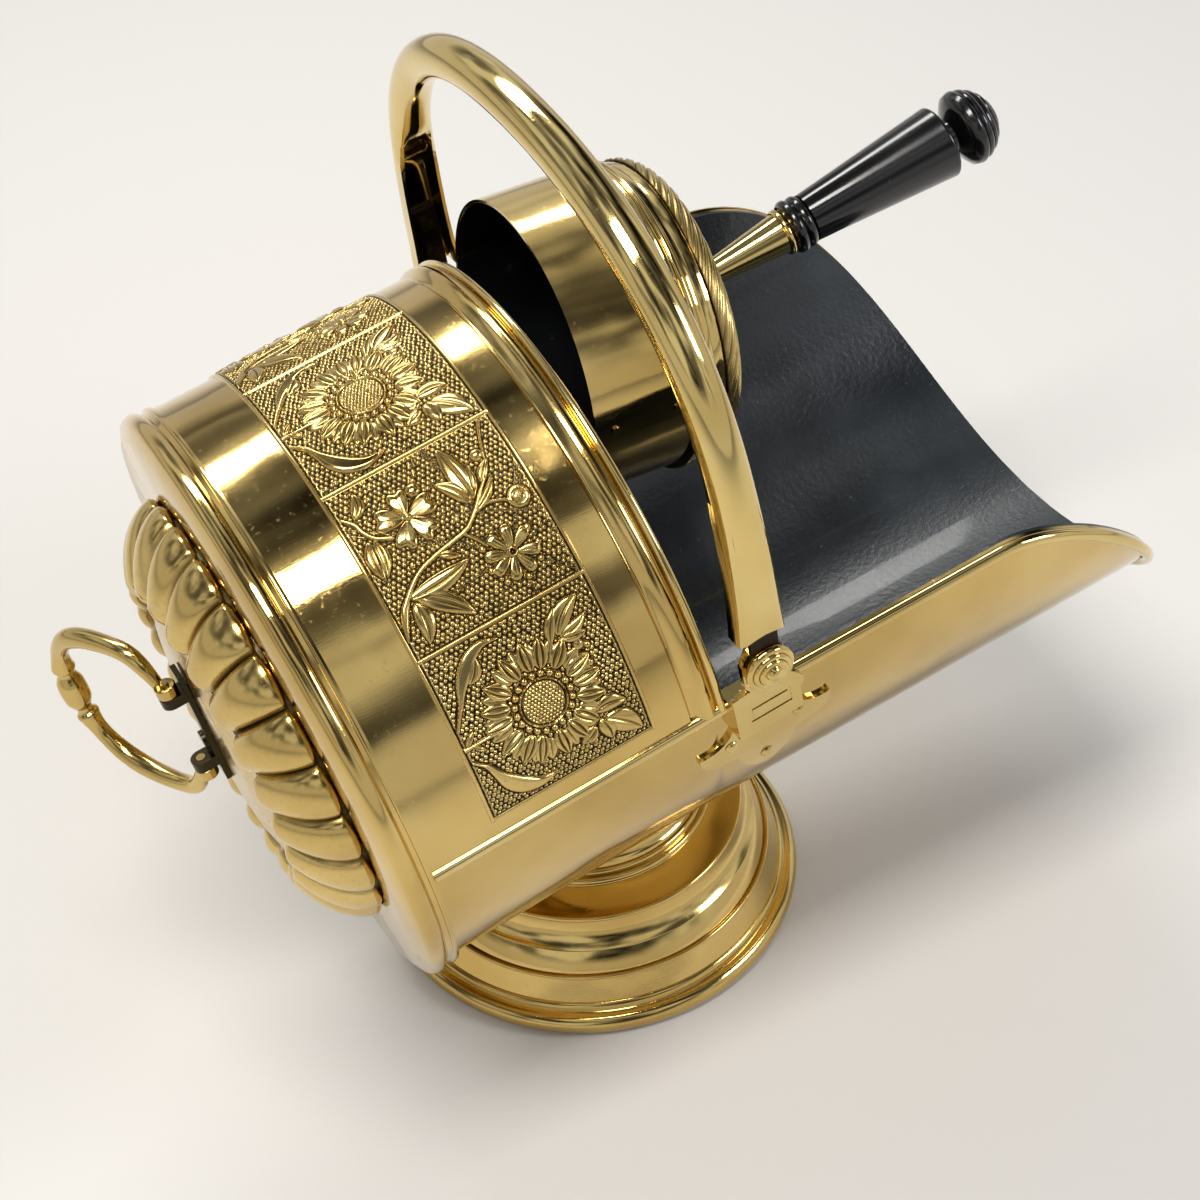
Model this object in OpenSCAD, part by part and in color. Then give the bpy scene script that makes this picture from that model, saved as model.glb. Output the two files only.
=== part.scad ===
// Coal scuttle. A brass drum with a pouring lip stands on a spun foot. A hoop
// handle swings on two riveted brackets, a small handle for tipping hangs on the
// gadrooned rear boss, and a round-ended scoop is stowed in the mouth.
// +X points out of the lip, +Z is up, the origin is the foot's centre on the floor.
// In the drum's own frame, x runs along its axis and z away from its underside.

/* [Drum] */
// Outer radius of the trough, the lower half of the drum
trough_r = 128.4; // [120:0.2:136]
// Thickness of the brass sheet
sheet = 1.6; // [1:0.1:2]
// Thickness of the black lining
lining = 1.6; // [1:0.1:2]
// Length of the drum behind the foot's centre
drum_back = 129.2; // [115:0.5:150]
// How far the drum leans back, in degrees
tilt = 8.5; // [4:0.5:12]
// Height of the trough's underside over the foot's centre
trough_z = 92.6; // [88:0.5:110]
// Height of the trough's beaded edge over the drum's axis
rim_n = 11.3; // [9:0.5:14]
// Radius of the beaded edge
bead_r = 2.7; // [2:0.1:3.6]
// Height over the axis that the trough's wall laps up inside the hood
lap_n = 25; // [20:1:32]

/* [Lip] */
// Where the straight edge turns into the lip, ahead of the foot's centre
lip_start = 135; // [110:1:160]
// Reach of the lip ahead of the foot's centre
lip_reach = 235; // [200:1:260]
// How much wider the radius is at the lip
lip_flare = 4.6; // [0:0.2:8]
// How sharply the lip's side view bends
lip_power = 3.3; // [2.6:0.1:3.6]

/* [Hood] */
// Where the hood's front edge stands, ahead of the foot's centre
hood_front = 0; // [-10:0.5:3]
// Radius of the wire rolled into the hood's front edge
hood_wire_r = 1.7; // [1:0.1:2.2]
// Width of the rounded moulding behind the hood's front edge
moulding_w = 12; // [8:0.5:15]
// Height of the moulding
moulding_h = 2.2; // [1:0.1:3]
// Distance of the embossed band's rear edge behind the foot's centre
band_back = 99.8; // [90:0.5:110]
// Width of the embossed band
band_w = 72.7; // [60:0.5:74]
// Number of panels in the band
panels = 5; // [3:1:7]
// Angle that one panel takes, in degrees
panel_angle = 32; // [20:0.5:34]
// Radius of the raised lines round the panels
line_r = 0.7; // [0.4:0.1:1]

/* [Rear end] */
// Height of the rear plate's rolled border
border_h = 15.5; // [12:0.5:20]
// Width of the flange where the rear plate sits inside the drum
spigot = 6.6; // [4:0.2:10]
// Radius of the boss on the rear plate
boss_r = 99; // [85:1:104]
// Height of the boss
boss_h = 29.5; // [20:0.5:36]
// Number of gadroons round the boss
gadroons = 24; // [16:1:28]
// Depth of the furrows between the gadroons
gadroon_h = 5.5; // [3:0.5:8]
// Radius of the plain disc in the middle of the boss
boss_plain = 46; // [38:1:56]

/* [Foot] */
// Greatest radius of the foot
foot_r = 102; // [92:1:112]
// Radius of the rolled edge that the foot stands on
foot_edge = 5.5; // [4:0.5:7]
// Radius of the neck under the trough
neck_r = 54; // [46:1:58]
// Radius of the bolt that holds the foot
bolt_r = 4; // [3:0.5:5]

/* [Hoop handle] */
// Height of the hoop's pivots over the drum's axis
pivot_n = 34.1; // [30:0.5:38]
// Distance of the pivots ahead of the foot's centre, along the drum
pivot_s = 20.5; // [17:0.5:26]
// Height of the hoop over its pivots
bail_h = 183.5; // [165:0.5:200]
// Backward lean of the stowed hoop, in degrees
bail_lean = 5.9; // [0:0.1:8]
// Radius of the hoop's tube
bail_r = 8.9; // [8:0.1:10]
// Thickness of the tube's wall
bail_wall = 1.5; // [1:0.1:2]
// Height over the pivot where the hoop's legs end
leg_end = 16; // [14:0.5:20]
// Radius of the pivot screws
pivot_r = 3.5; // [2.5:0.1:4.5]
// Radius of the turned heads on the pivot screws
rosette_r = 11; // [9:0.5:13]
// Thickness of the bracket's upright lug
lug_t = 3; // [2:0.1:4]
// Thickness of the straps in the hoop's legs
strap_t = 2.4; // [1.6:0.1:3]

/* [Tipping handle] */
// Height of the handle's hinge over the boss's centre
tip_n = 10; // [0:1:14]
// Slope of the hinge line from level, in degrees
tip_slope = 82; // [40:1:90]
// Swing of the hanging loop out from the boss, in degrees
tip_swing = 27; // [20:1:50]
// Length of the loop
tip_l = 70; // [55:1:76]
// Greatest width of the loop
tip_w = 82; // [68:1:90]
// Distance between the loop's two eyes
tip_eyes = 48; // [38:1:56]
// Radius of the hinge pins
tip_pin_r = 2; // [1.4:0.1:2.4]

/* [Scoop] */
// Radius of the scoop's hood
scoop_r = 68.8; // [62:0.2:70]
// Length of the scoop's hood
scoop_hood_l = 47.7; // [36:1:60]
// Thickness of the scoop's sheet
scoop_sheet = 1.2; // [0.8:0.1:1.6]
// Length of the blade ahead of the hood
blade_l = 109.5; // [80:1:112]
// Number of leaves pressed round the scoop's end
leaves = 36; // [24:1:40]
// Height of the leaves
leaf_h = 1.8; // [1:0.1:2.4]
// Upward slope of the scoop's handle, in degrees
grip_rise = 12.9; // [5:0.5:16]
// Length of the black grip
grip_l = 71.5; // [60:0.5:80]
// Radius of the grip at its wide end
grip_r = 17; // [14:0.1:18]

/* [Hidden] */
$fn = 96;
far = 1000;
play = 0.3;
fit = 0.05;

axis_z = trough_z + trough_r / cos(tilt);
wall = sheet + lining;
hood_r = trough_r + sheet;
hood_n = rim_n + bead_r / 2;
inner_r = trough_r - sheet;
lining_r = inner_r - lining;
bead_mid = trough_r + play + 0.3 * bead_r;
bead_y = sqrt(bead_mid * bead_mid - rim_n * rim_n);
edge_up = 0.9 * bead_r;
band_front = band_back - band_w;
band_start = 90 - panels * panel_angle / 2;
lining_back = drum_back - spigot - lining;
plate_s = -drum_back - border_h;
boss_disc = boss_h - 3;
bracket_s = pivot_s - 2;
bracket_back = bracket_s - 14.5;
bracket_front = bracket_s + 15.5;

// ---- shared shapes ----

// Places things in the drum's own frame
module on_drum() {
  translate([0, 0, axis_z]) rotate([0, -tilt, 0]) children();
}
// Turns a profile of [radius, distance along the axis] about the drum's axis
module about_axis() {
  rotate([0, 90, 0]) rotate_extrude() children();
}
// A rod along the drum's axis from a to b
module rod_x(r, a, b) {
  translate([a, 0, 0]) rotate([0, 90, 0]) cylinder(r = r, h = b - a);
}
// A rod across the drum from a to b
module rod_y(r, a, b) {
  translate([0, a, 0]) rotate([-90, 0, 0]) cylinder(r = r, h = b - a);
}
// A side view of [x, z] points, extruded across the drum from a to b
module side_view(points, a, b) {
  translate([0, b, 0]) rotate([90, 0, 0]) linear_extrude(b - a) polygon(points);
}
// The half space above height n in the drum's frame
module above(n) {
  translate([-far / 2, -far / 2, n]) cube(far);
}
// Both sides of the drum, from a piece drawn on the near side
module both_sides() {
  children();
  mirror([0, 1, 0]) children();
}

function arc(c, r, a, b, n) = [for (i = [0:n]) c + r * [cos(a + (b - a) * i / n), sin(a + (b - a) * i / n)]];
function reversed(p) = [for (i = [len(p) - 1:-1:0]) p[i]];
// A line of points moved sideways by d, for the other face of a sheet
function beside(p, d) = [
  for (i = [0:len(p) - 1])
    let (v = p[min(i + 1, len(p) - 1)] - p[max(i - 1, 0)])
      p[i] + d * [v[1], -v[0]] / norm(v)
];
// The closed outline of a sheet whose outer face follows the points
function sheet_outline(p, t) = concat(p, reversed(beside(p, t)));
function unit(v) = v / norm(v);

// A closed skin over rings of points, each ring turning against its direction of travel,
// with end faces of the ring's points in the order that caps lists
module skin(rings, caps = undef) {
  n = len(rings[0]);
  m = len(rings);
  ends = is_undef(caps) ? [[for (i = [0:n - 1]) i]] : caps;
  sides = [
    for (j = [0:m - 2], i = [0:n - 1])
      let (a = j * n + i, b = j * n + (i + 1) % n)
        each [[a, b, b + n], [a, b + n, a + n]]
  ];
  first = [for (f = ends) reversed(f)];
  last = [for (f = ends) [for (i = f) (m - 1) * n + i]];
  polyhedron(points = [for (r = rings) each r], faces = concat(sides, first, last));
}
// A skin over rings that come back to the first, like a tyre
module tyre(rings) {
  n = len(rings[0]);
  m = len(rings);
  sides = [
    for (j = [0:m - 1], i = [0:n - 1])
      let (a = j * n + i, b = j * n + (i + 1) % n, up = j == m - 1 ? -j * n : n)
        each [[a, b, b + up], [a, b + up, a + up]]
  ];
  polyhedron(points = [for (r = rings) each r], faces = sides);
}

// ---- drum ----

function trough_at(s) = trough_r + lip_flare * max(0, s) / lip_reach;
// The beaded edge's side view, from the straight edge (t = 0) to the lip's lowest point (t = 90)
function lip_point(t) = [
  lip_reach - (lip_reach - lip_start) * pow(cos(t), lip_power),
  rim_n - (rim_n + bead_mid + lip_flare) * pow(sin(t), lip_power)
];
lip_steps = 24;
lip_line = [for (i = [0:lip_steps]) lip_point(90 * i / lip_steps)];
// Side view of the trough's wall, with its lap inside the hood
trough_side = concat(
  [[-far, -far], [-far, lap_n], [hood_front - 2, lap_n], [hood_front - 2, rim_n + edge_up]],
  beside(lip_line, -edge_up),
  [[lip_reach + edge_up, -far]]
);
function trough_wall(r, t, back) =
  let (end = lip_reach + edge_up, out = lip_flare * end / lip_reach)
    [[r, back], [r, 0], [r + out, end], [r + out - t, end], [r - t, 0], [r - t, back]];

// The space that the trough's outer face takes up, grown by d
module trough_space(d = 0) {
  about_axis() polygon([[0, -far / 2], [trough_r + d, -far / 2], [trough_r + d, 0],
    [trough_at(lip_reach) + d, lip_reach], [0, lip_reach]]);
}

module trough_sheet(r, t, back) {
  intersection() {
    about_axis() polygon(trough_wall(r, t, back));
    side_view(trough_side, -far / 2, far / 2);
  }
}

module trough_shell() {
  color("#c79a3c") on_drum() difference() {
    trough_sheet(trough_r, sheet, -drum_back);
    foot_bolt_hole();
    rivet_holes();
  }
}

module trough_lining() {
  color("#23272c") on_drum() difference() {
    trough_sheet(inner_r, lining, -lining_back);
    foot_bolt_hole();
  }
}

// The bead's centre in the drum's frame, on one side of it
function edge_point(p, side) =
  let (r = trough_at(p[0]) + bead_mid - trough_r)
    [p[0], side * sqrt(max(0, r * r - p[1] * p[1])), p[1]];
bead_line = concat(
  [edge_point([bracket_front + play, rim_n], -1)],
  [for (p = lip_line) edge_point(p, -1)],
  [for (i = [lip_steps - 1:-1:0]) edge_point(lip_line[i], 1)],
  [edge_point([bracket_front + play, rim_n], 1)]
);
bead_turn = acos(-0.3);
// One ring of the bead: most of a circle, with a flat towards the wall
function bead_ring(i) =
  let (
    p = bead_line[i],
    t = unit(bead_line[min(i + 1, len(bead_line) - 1)] - bead_line[max(i - 1, 0)]),
    out = unit([0, p[1], p[2]]),
    side = unit(out - (out * t) * t),
    up = cross(side, t)
  ) [for (k = [0:8]) let (a = bead_turn * (k / 4 - 1)) p + bead_r * (cos(a) * side + sin(a) * up)];

module lip_bead() {
  color("#d6ab4a") on_drum() skin([for (i = [0:len(bead_line) - 1]) bead_ring(i)]);
}

// Beads on the trough's sides, under the hood's edge
module side_beads() {
  color("#d6ab4a") on_drum() difference() {
    both_sides() translate([0, -bead_y, rim_n]) rod_x(bead_r, -drum_back, bracket_back);
    rod_x(trough_r + play, -drum_back - 1, bracket_back + 1, $fn = 360);
  }
}

// Height of the front moulding over the drum at u, from 0 at its rear to 1 at the front edge
function moulding(u) = u < 0.25 ? -0.35 * moulding_h * sin(180 * u / 0.25)
  : moulding_h * sin(180 * (u - 0.25) / 0.75);
moulding_steps = 16;
// A raised line round the hood's profile at s
function ridge(s) = [for (p = [[0, -1.4], [1, -0.6], [1, 0.6], [0, 1.4]]) [hood_r, s] + line_r * p];
front_line = [
  for (i = [0:moulding_steps])
    let (u = i / moulding_steps) [hood_r + moulding(u), hood_front - moulding_w * (1 - u)]
];
hood_line = concat([[hood_r, -drum_back]], ridge(-band_back), ridge(-band_front), front_line);

// What the side beads leave of a piece of the hood
module over_beads() {
  difference() {
    intersection() {
      children();
      above(hood_n);
    }
    both_sides() translate([0, -bead_y, rim_n]) rod_x(bead_r + play, -drum_back - 1, bracket_back);
  }
}

module hood_shell() {
  color("#c79a3c") on_drum() {
    over_beads() about_axis() polygon(concat(hood_line,
      [for (p = reversed(front_line)) [max(trough_r, p[0] - sheet), p[1]]], [[trough_r, -drum_back]]));
    // raised lines between the panels
    for (i = [0:panels]) rotate([90 - band_start - i * panel_angle, 0, 0])
      translate([-band_back, -line_r, hood_r - line_r]) cube([band_w, 2 * line_r, 2 * line_r]);
  }
}

module hood_wire() {
  color("#e0b654") on_drum() over_beads()
    about_axis() translate([hood_r + hood_wire_r / 3, hood_front + hood_wire_r]) circle(hood_wire_r, $fn = 32);
}

module hood_lining() {
  color("#1c1f23") on_drum() intersection() {
    about_axis() polygon([
      [trough_r, -drum_back], [trough_r, hood_front - moulding_w],
      [inner_r, hood_front - moulding_w], [inner_r, -drum_back]
    ]);
    above(lap_n);
  }
}

// ---- rear end ----

// Outer face of the rear plate: seam ring, rolled border and flat ring round the boss
border_peak = hood_r + 2.2;
end_line = concat(
  [[hood_r + 1.2, -drum_back]],
  arc([hood_r + 0.2, -drum_back - 1.3], 1.3, 20, -70, 4),
  arc([border_peak - 5, -drum_back - border_h * 0.56], 5, 60, -60, 8),
  [[border_peak - 8, plate_s], [boss_r - 8, plate_s]]
);

module end_plate() {
  color("#c79a3c") on_drum() about_axis() {
    polygon(concat(end_line, [[boss_r - 8, plate_s + sheet], [border_peak - 9, plate_s + sheet],
      [inner_r, -drum_back - 2], [inner_r - sheet, -drum_back - 2], [inner_r - sheet, -drum_back + spigot],
      [inner_r, -drum_back + spigot], [inner_r, -drum_back]]));
  }
}

module end_lining() {
  color("#1c1f23") on_drum() rod_x(inner_r, -drum_back + spigot, -lining_back);
}

// Profile of the boss at t, from 0 at its middle to 90 at its edge: [radius, height]
function boss_line(r, h, t) = [r * pow(sin(t), 0.54), h * cos(t)];
// How far a point stands up from furrow (0) to crest (1), with round inner ends
function gadroon(v, r) =
  let (e = max(0, (boss_plain + 9 - r) / 9), w = 1 - v * v - e * e)
    w > 0 ? sqrt(w) : 0;
function boss_point(t, column) =
  let (
    crest = boss_line(boss_r, boss_h, t),
    furrow = boss_line(boss_r - gadroon_h * 0.7, boss_disc - gadroon_h * 0.6, t),
    middle = boss_line(boss_r - gadroon_h * 0.7, boss_disc, t),
    inside = crest[0] < boss_plain ? 1 : max(0, 1 - (crest[0] - boss_plain) / 16),
    low = furrow + (middle - furrow) * inside,
    v = 2 * (column % gadroon_steps) / gadroon_steps - 1,
    p = low + (crest - low) * gadroon(v, crest[0]),
    a = 360 * column / (gadroons * gadroon_steps)
  ) [-p[1], -p[0] * cos(a), p[0] * sin(a)];
gadroon_steps = 6;
boss_rows = [4, 10, 14.5, 17, 19.5, 22, 25, 29, 34, 40, 46, 52, 58, 64, 70, 76, 82, 86, 90];
boss_columns = gadroons * gadroon_steps;

boss_hollow = boss_disc - gadroon_h * 0.6 - 1.8;
module end_boss() {
  inner = [88, 70, 45, 20, 6];
  outside = [for (t = boss_rows) [for (k = [0:boss_columns - 1]) boss_point(t, k)]];
  inside = [for (t = inner) [for (k = [0:boss_columns - 1])
    let (p = boss_line(boss_r - gadroon_h * 0.7 - 1.8, boss_hollow, t), a = 360 * k / boss_columns)
      [t == 88 ? 0 : -p[1], -p[0] * cos(a), p[0] * sin(a)]]];
  color("#d0a345") on_drum() translate([plate_s, 0, 0]) difference() {
    skin(concat(outside, inside));
    rod_x(tip_bolt_r, -far, far);
  }
}

// ---- foot ----

foot_mid = foot_r - foot_edge;
// Outer face of the foot, from its rolled edge up to the beads under the neck
foot_line = concat(
  arc([foot_mid, foot_edge], foot_edge, 0, 84, 6),
  [[foot_mid - 0.8, 11.6], [foot_mid - 1.2, 13.2]],
  arc([foot_mid - 4, 12.6], 3, 25, 80, 4),
  [[foot_mid - 8.6, 25.6]],
  arc([foot_mid - 9.2, 26.6], 1.1, -20, 160, 6),
  arc([foot_r - 12, 52], 16.5, 238, 182, 9),
  arc([foot_r - 28, 53], 1.4, -60, 110, 6),
  [[neck_r + 6.6, 60.4]],
  arc([neck_r + 5.4, 62.6], 2, -60, 100, 6),
  arc([neck_r + 3.2, 66.2], 1.7, -50, 90, 5)
);
neck_foot = 67.9;

module foot() {
  edge = [[foot_mid - foot_edge, foot_edge], [foot_mid - foot_edge, 0], [foot_mid + foot_edge / 3, 0]];
  inner = [for (p = reversed(beside(foot_line, -sheet))) if (p[1] > foot_edge * 2) p];
  color("#c79a3c") rotate_extrude()
    polygon(concat([[foot_mid + foot_edge / 3, 0]], arc([foot_mid, foot_edge], foot_edge, -50, -12, 3),
      foot_line, inner, [[foot_mid - foot_edge, foot_edge * 1.6]], [edge[1]]));
}

// Collar between the foot and the trough, cut to the trough's curve
module foot_neck() {
  color("#c79a3c") difference() {
    rotate_extrude() polygon(sheet_outline(concat(
      [[neck_r + 3, neck_foot]],
      arc([neck_r + 6, neck_foot + 7], 6, 235, 180, 5),
      [[neck_r, trough_z + neck_r / 2]]
    ), -sheet));
    on_drum() trough_space();
  }
}

bridge_z = 46;
bridge_t = 3;
bridge_l = 2 * (foot_r - 30);

// Bar across the inside of the foot that the bolt pulls against
module foot_bridge() {
  color("#7d8084") difference() {
    intersection() {
      translate([-bridge_l / 2, -9, bridge_z]) cube([bridge_l, 18, bridge_t]);
      cylinder(r = bridge_l / 2, h = far);
    }
    translate([0, 0, bridge_z - 1]) cylinder(r = bolt_r + play, h = bridge_t + 2);
  }
}

bolt_top = trough_z + wall / cos(tilt);
module foot_bolt_hole() {
  rotate([0, tilt, 0]) translate([0, 0, -axis_z]) cylinder(r = bolt_r + play, h = axis_z);
}

// Round headed bolt from the lining down through the bridge
module foot_bolt() {
  head = bolt_r * 2.2;
  color("#55585c") {
    translate([0, 0, bridge_z - 9]) cylinder(r = bolt_r, h = bolt_top - bridge_z + 9);
    on_drum() rotate([0, tilt, 0]) translate([0, 0, bolt_top - axis_z]) rotate([0, -tilt, 0])
      intersection() {
        translate([0, 0, -head * 0.75]) sphere(head * 1.25, $fn = 48);
        translate([0, 0, 0.4]) cylinder(r = head, h = far);
      }
  }
}

module foot_nut() {
  color("#7d8084") translate([0, 0, bridge_z - 6]) difference() {
    cylinder(r = bolt_r * 1.9, h = 6, $fn = 6);
    translate([0, 0, -1]) cylinder(r = bolt_r, h = 8);
  }
}

// ---- brackets and pivots ----

lug_out = trough_r + 7.9;
lug_in = lug_out - lug_t;
pad_t = 1.8;
rivets = [[-16, -13.5], [0, -32], [16, -13.5]];
rivet_r = 2;

// Left half of the riveted pad: a hooked wing over a shield with a point
wing = concat(
  [[0, 4], [-13, 4], [-13, -1]],
  arc([-27.5, 2], 14.5, -14, -98, 8),
  arc([-21, -13.5], 10, 168, 262, 8),
  [[-14, -25], [-12.6, -30], [-9, -36], [-4.5, -41], [0, -43.5]]
);
pad_side = concat(wing, [for (p = reversed(wing)) if (p[0] < 0) [-p[0], p[1]]]);
saddle_side = [[-14.5, -4], [15.5, -4], [15.5, 8], [17.5, 10], [17.5, 13.5], [12.5, 20],
  [2 + rosette_r * 0.9, 24], [2 + rosette_r * 0.9, pivot_n], [2 - rosette_r * 0.9, pivot_n],
  [2 - rosette_r * 0.9, 24], [-6, 21], [-14.5, 20]];

// Riveted pad, saddle over the bead and upright lug, drawn on the near side
module bracket() {
  pad_line = [for (s = [-30, 0, 60]) [trough_at(s) - 1, s]];
  pivot_x = pivot_s - bracket_s;
  difference() {
    union() {
      intersection() {
        about_axis() polygon(concat(pad_line, [for (p = reversed(pad_line)) p + [pad_t + 1, 0]]));
        translate([bracket_s, 0, 0]) side_view(pad_side, -far, 0);
      }
      translate([bracket_s, 0, 0]) {
        intersection() {
          side_view([[-14.5, -4], [15.5, -4], [15.5, 16], [-14.5, 16]], -lug_out, -trough_r + 4);
          side_view(saddle_side, -far, 0);
        }
        side_view(saddle_side, -lug_out, -lug_in);
        translate([pivot_x, 0, pivot_n]) rod_y(rosette_r * 0.9, -lug_out, -lug_in);
      }
    }
    // the trough's wall below its edge
    difference() {
      trough_space();
      above(rim_n + edge_up);
    }
    translate([bracket_s, 0, 0]) {
      translate([pivot_x, 0, pivot_n]) rod_y(pivot_r, -far, 0);
      // sunk line on the saddle's face
      difference() {
        side_view([[-8, 3], [11, 3], [11, 11], [-8, 11]], -far, -lug_out + 0.4);
        side_view([[-6.8, 4.2], [9.8, 4.2], [9.8, 9.8], [-6.8, 9.8]], -far, 0);
      }
    }
    for (p = rivets) rivet_at(p) cylinder(r = rivet_r, h = 16, center = true);
  }
}

// Places a rivet square to the trough's wall, with +z outwards
module rivet_at(p) {
  r = trough_at(bracket_s + p[0]);
  a = asin(p[1] / r);
  translate([bracket_s + p[0], -r * cos(a), p[1]]) rotate([90 - a, 0, 0]) children();
}
module rivet_holes() {
  both_sides() for (p = rivets) rivet_at(p) cylinder(r = rivet_r, h = 8, center = true);
}

module bracket_right() { color("#d6ab4a") on_drum() bracket(); }
module bracket_left() { color("#d6ab4a") on_drum() mirror([0, 1, 0]) bracket(); }

// Rivets from the back of the trough's sheet to round heads on the pads
module bracket_rivets() {
  color("#c79a3c") on_drum() both_sides() for (p = rivets) rivet_at(p) {
    translate([0, 0, -sheet + 0.2]) cylinder(r = rivet_r, h = sheet + pad_t);
    translate([0, 0, pad_t + 0.1]) intersection() {
      cylinder(r = rivet_r * 1.5, h = 3);
      translate([0, 0, -1.6]) sphere(3.4, $fn = 32);
    }
  }
}

strap_in = lug_out + play;
strap_out = strap_in + strap_t;
head_in = strap_out + play;

// Shoulder screw with a turned head, drawn on the near side
module pivot_screw() {
  step = rosette_r / 11;
  translate([pivot_s, 0, pivot_n]) rotate([90, 0, 0]) rotate_extrude() polygon(concat(
    [[0, lug_in - 4.6], [pivot_r, lug_in - 4.6], [pivot_r, head_in]],
    [[rosette_r - 0.6, head_in]],
    arc([rosette_r - 1, head_in + 1.4], 1, -60, 80, 4),
    arc([rosette_r - 2.4 * step, head_in + 3], 0.9, -40, 90, 3),
    arc([rosette_r - 4.3 * step, head_in + 4.1], 0.9, -30, 90, 3),
    arc([rosette_r - 6.2 * step, head_in + 5], 0.8, -30, 90, 3),
    [[3.4 * step, head_in + 5.4]],
    arc([0, head_in + 3.9], 3.2 * step, 30, 90, 4)
  ));
}
module pivot_nut() {
  translate([pivot_s, -lug_in, pivot_n]) rotate([-90, 0, 0]) difference() {
    union() {
      cylinder(r = pivot_r * 2, h = 1);
      translate([0, 0, 1]) cylinder(r = pivot_r * 1.7, h = 3.6, $fn = 6);
    }
    translate([0, 0, -1]) cylinder(r = pivot_r, h = 9);
  }
}
module pivot_screw_right() { color("#d6ab4a") on_drum() pivot_screw(); }
module pivot_screw_left() { color("#d6ab4a") on_drum() mirror([0, 1, 0]) pivot_screw(); }
module pivot_nut_right() { color("#7d8084") on_drum() pivot_nut(); }
module pivot_nut_left() { color("#7d8084") on_drum() mirror([0, 1, 0]) pivot_nut(); }

// ---- hoop handle ----

// The hoop's frame: origin on the pivots' line, z up the legs
module on_pivots() {
  translate([pivot_s * cos(tilt) - pivot_n * sin(tilt), 0,
    axis_z + pivot_s * sin(tilt) + pivot_n * cos(tilt)]) rotate([0, -bail_lean, 0]) children();
}

leg_y = strap_out + fit + bail_wall - 6;
leg_top = 104;
function bail_centre(t) = [0, -leg_y * (cos(t) < 0 ? -1 : 1) * pow(abs(cos(t)), 0.91), bail_h * pow(sin(t), 0.61)];
function leg_angle(v) = asin(pow(v / bail_h, 1 / 0.61));
leg_turns = [for (i = [0:11]) leg_angle(leg_end + (leg_top - leg_end) * i / 11)];
arch_turns = [for (i = [1:9]) leg_angle(leg_top) + (90 - leg_angle(leg_top)) * i / 9];
half_turns = concat(leg_turns, arch_turns);
bail_turns = concat(half_turns, [for (i = [len(half_turns) - 2:-1:0]) 180 - half_turns[i]]);
function ramp(v, a, b) = v < a ? 0 : v > b ? 1 : (1 - cos(180 * (v - a) / (b - a))) / 2;
function power(x, e) = (x < 0 ? -1 : 1) * pow(abs(x), e);
// One ring of the hoop: a round tube above, an open channel in the legs
function bail_ring(t) =
  let (
    c = bail_centre(t),
    ahead = unit(bail_centre(min(t + 0.2, 180)) - bail_centre(max(t - 0.2, 0))),
    out = unit(cross([1, 0, 0], ahead)),
    open = 1 - ramp(c[2], 70, 112),
    flat = 1 - ramp(c[2], 44, 92),
    half = bail_r + 0.3 * flat,
    crown = bail_r + (6 - bail_r) * flat,
    square = 1 - 0.45 * flat,
    outer = [for (k = [0:8]) let (a = -90 + 22.5 * k) [half * power(sin(a), square), crown * power(cos(a), square)]],
    web = crown - bail_wall,
    lip = -4.4,
    side = half - bail_wall,
    channel = [[half, lip], [side, lip], [side - 0.9, web], [0, web], [0.9 - side, web], [-side, lip], [-half, lip]],
    tube = [for (k = [1:7]) let (a = 90 + 22.5 * k) [half * sin(a), bail_r * cos(a)]],
    inner = [for (k = [0:6]) tube[k] + (channel[k] - tube[k]) * open]
  ) [for (p = concat(outer, inner)) c + [-p[0], 0, 0] + p[1] * out];

leg_caps = [[8, 9, 10, 11], [7, 8, 11], [6, 7, 11], [5, 6, 11, 12], [4, 5, 12],
  [3, 4, 12], [2, 3, 12, 13], [1, 2, 13], [0, 1, 13], [13, 14, 15, 0]];

module bail() {
  color("#d6ab4a") on_pivots() skin([for (t = bail_turns) bail_ring(t)], leg_caps);
}

strap_top = 50;
strap_rivets = [26, 42];
strap_w = 2 * (bail_r - bail_wall) - 2.6;
// How far the hoop's leg has leaned in at height v
function leg_in(v) = leg_y * (1 - pow(cos(leg_angle(max(v, leg_end))), 0.91));
strap_line = [for (v = [-strap_w, leg_end, 33, strap_top]) [leg_in(v) - leg_in(0), v]];

// Flat strap in the hoop's leg, hung on the pivot screw, drawn on the near side
module bail_strap() {
  difference() {
    intersection() {
      union() {
        rod_y(strap_w / 2 + 1, -far, 0);
        translate([-strap_w / 2, -far, 0]) cube([strap_w, far, strap_top]);
      }
      // the strap's edge, from [-y, z] points
      rotate([90, 0, 90]) linear_extrude(2 * strap_w, center = true) polygon(concat(
        [for (p = strap_line) p - [strap_out, 0]], [for (p = reversed(strap_line)) p - [strap_in, 0]]));
    }
    rod_y(pivot_r + fit, -far, 0);
    for (v = strap_rivets) translate([0, 0, v]) rod_y(rivet_r, -far, 0);
  }
}
module bail_strap_right() { color("#4a4038") on_pivots() bail_strap(); }
module bail_strap_left() { color("#4a4038") on_pivots() mirror([0, 1, 0]) bail_strap(); }

// Rivets through the straps, with heads inside the channel
module bail_rivets() {
  color("#8d7340") on_pivots() both_sides() for (v = strap_rivets) translate([0, leg_in(v) - leg_in(0), v]) {
    rod_y(rivet_r - fit, -strap_out, -strap_in + 1);
    rod_y(rivet_r * 1.6, -strap_in + play, -strap_in + 1.4);
  }
}

// ---- tipping handle ----

tip_bolt_r = 2.5;
tip_plate_t = 2.5;
tip_disc = plate_s - boss_disc;
tip_axis = tip_disc - tip_plate_t - 5.5;
ear_y = tip_eyes / 2 - 5.2;
eye_y = tip_eyes / 2;
eye_half = 2.6;

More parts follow.
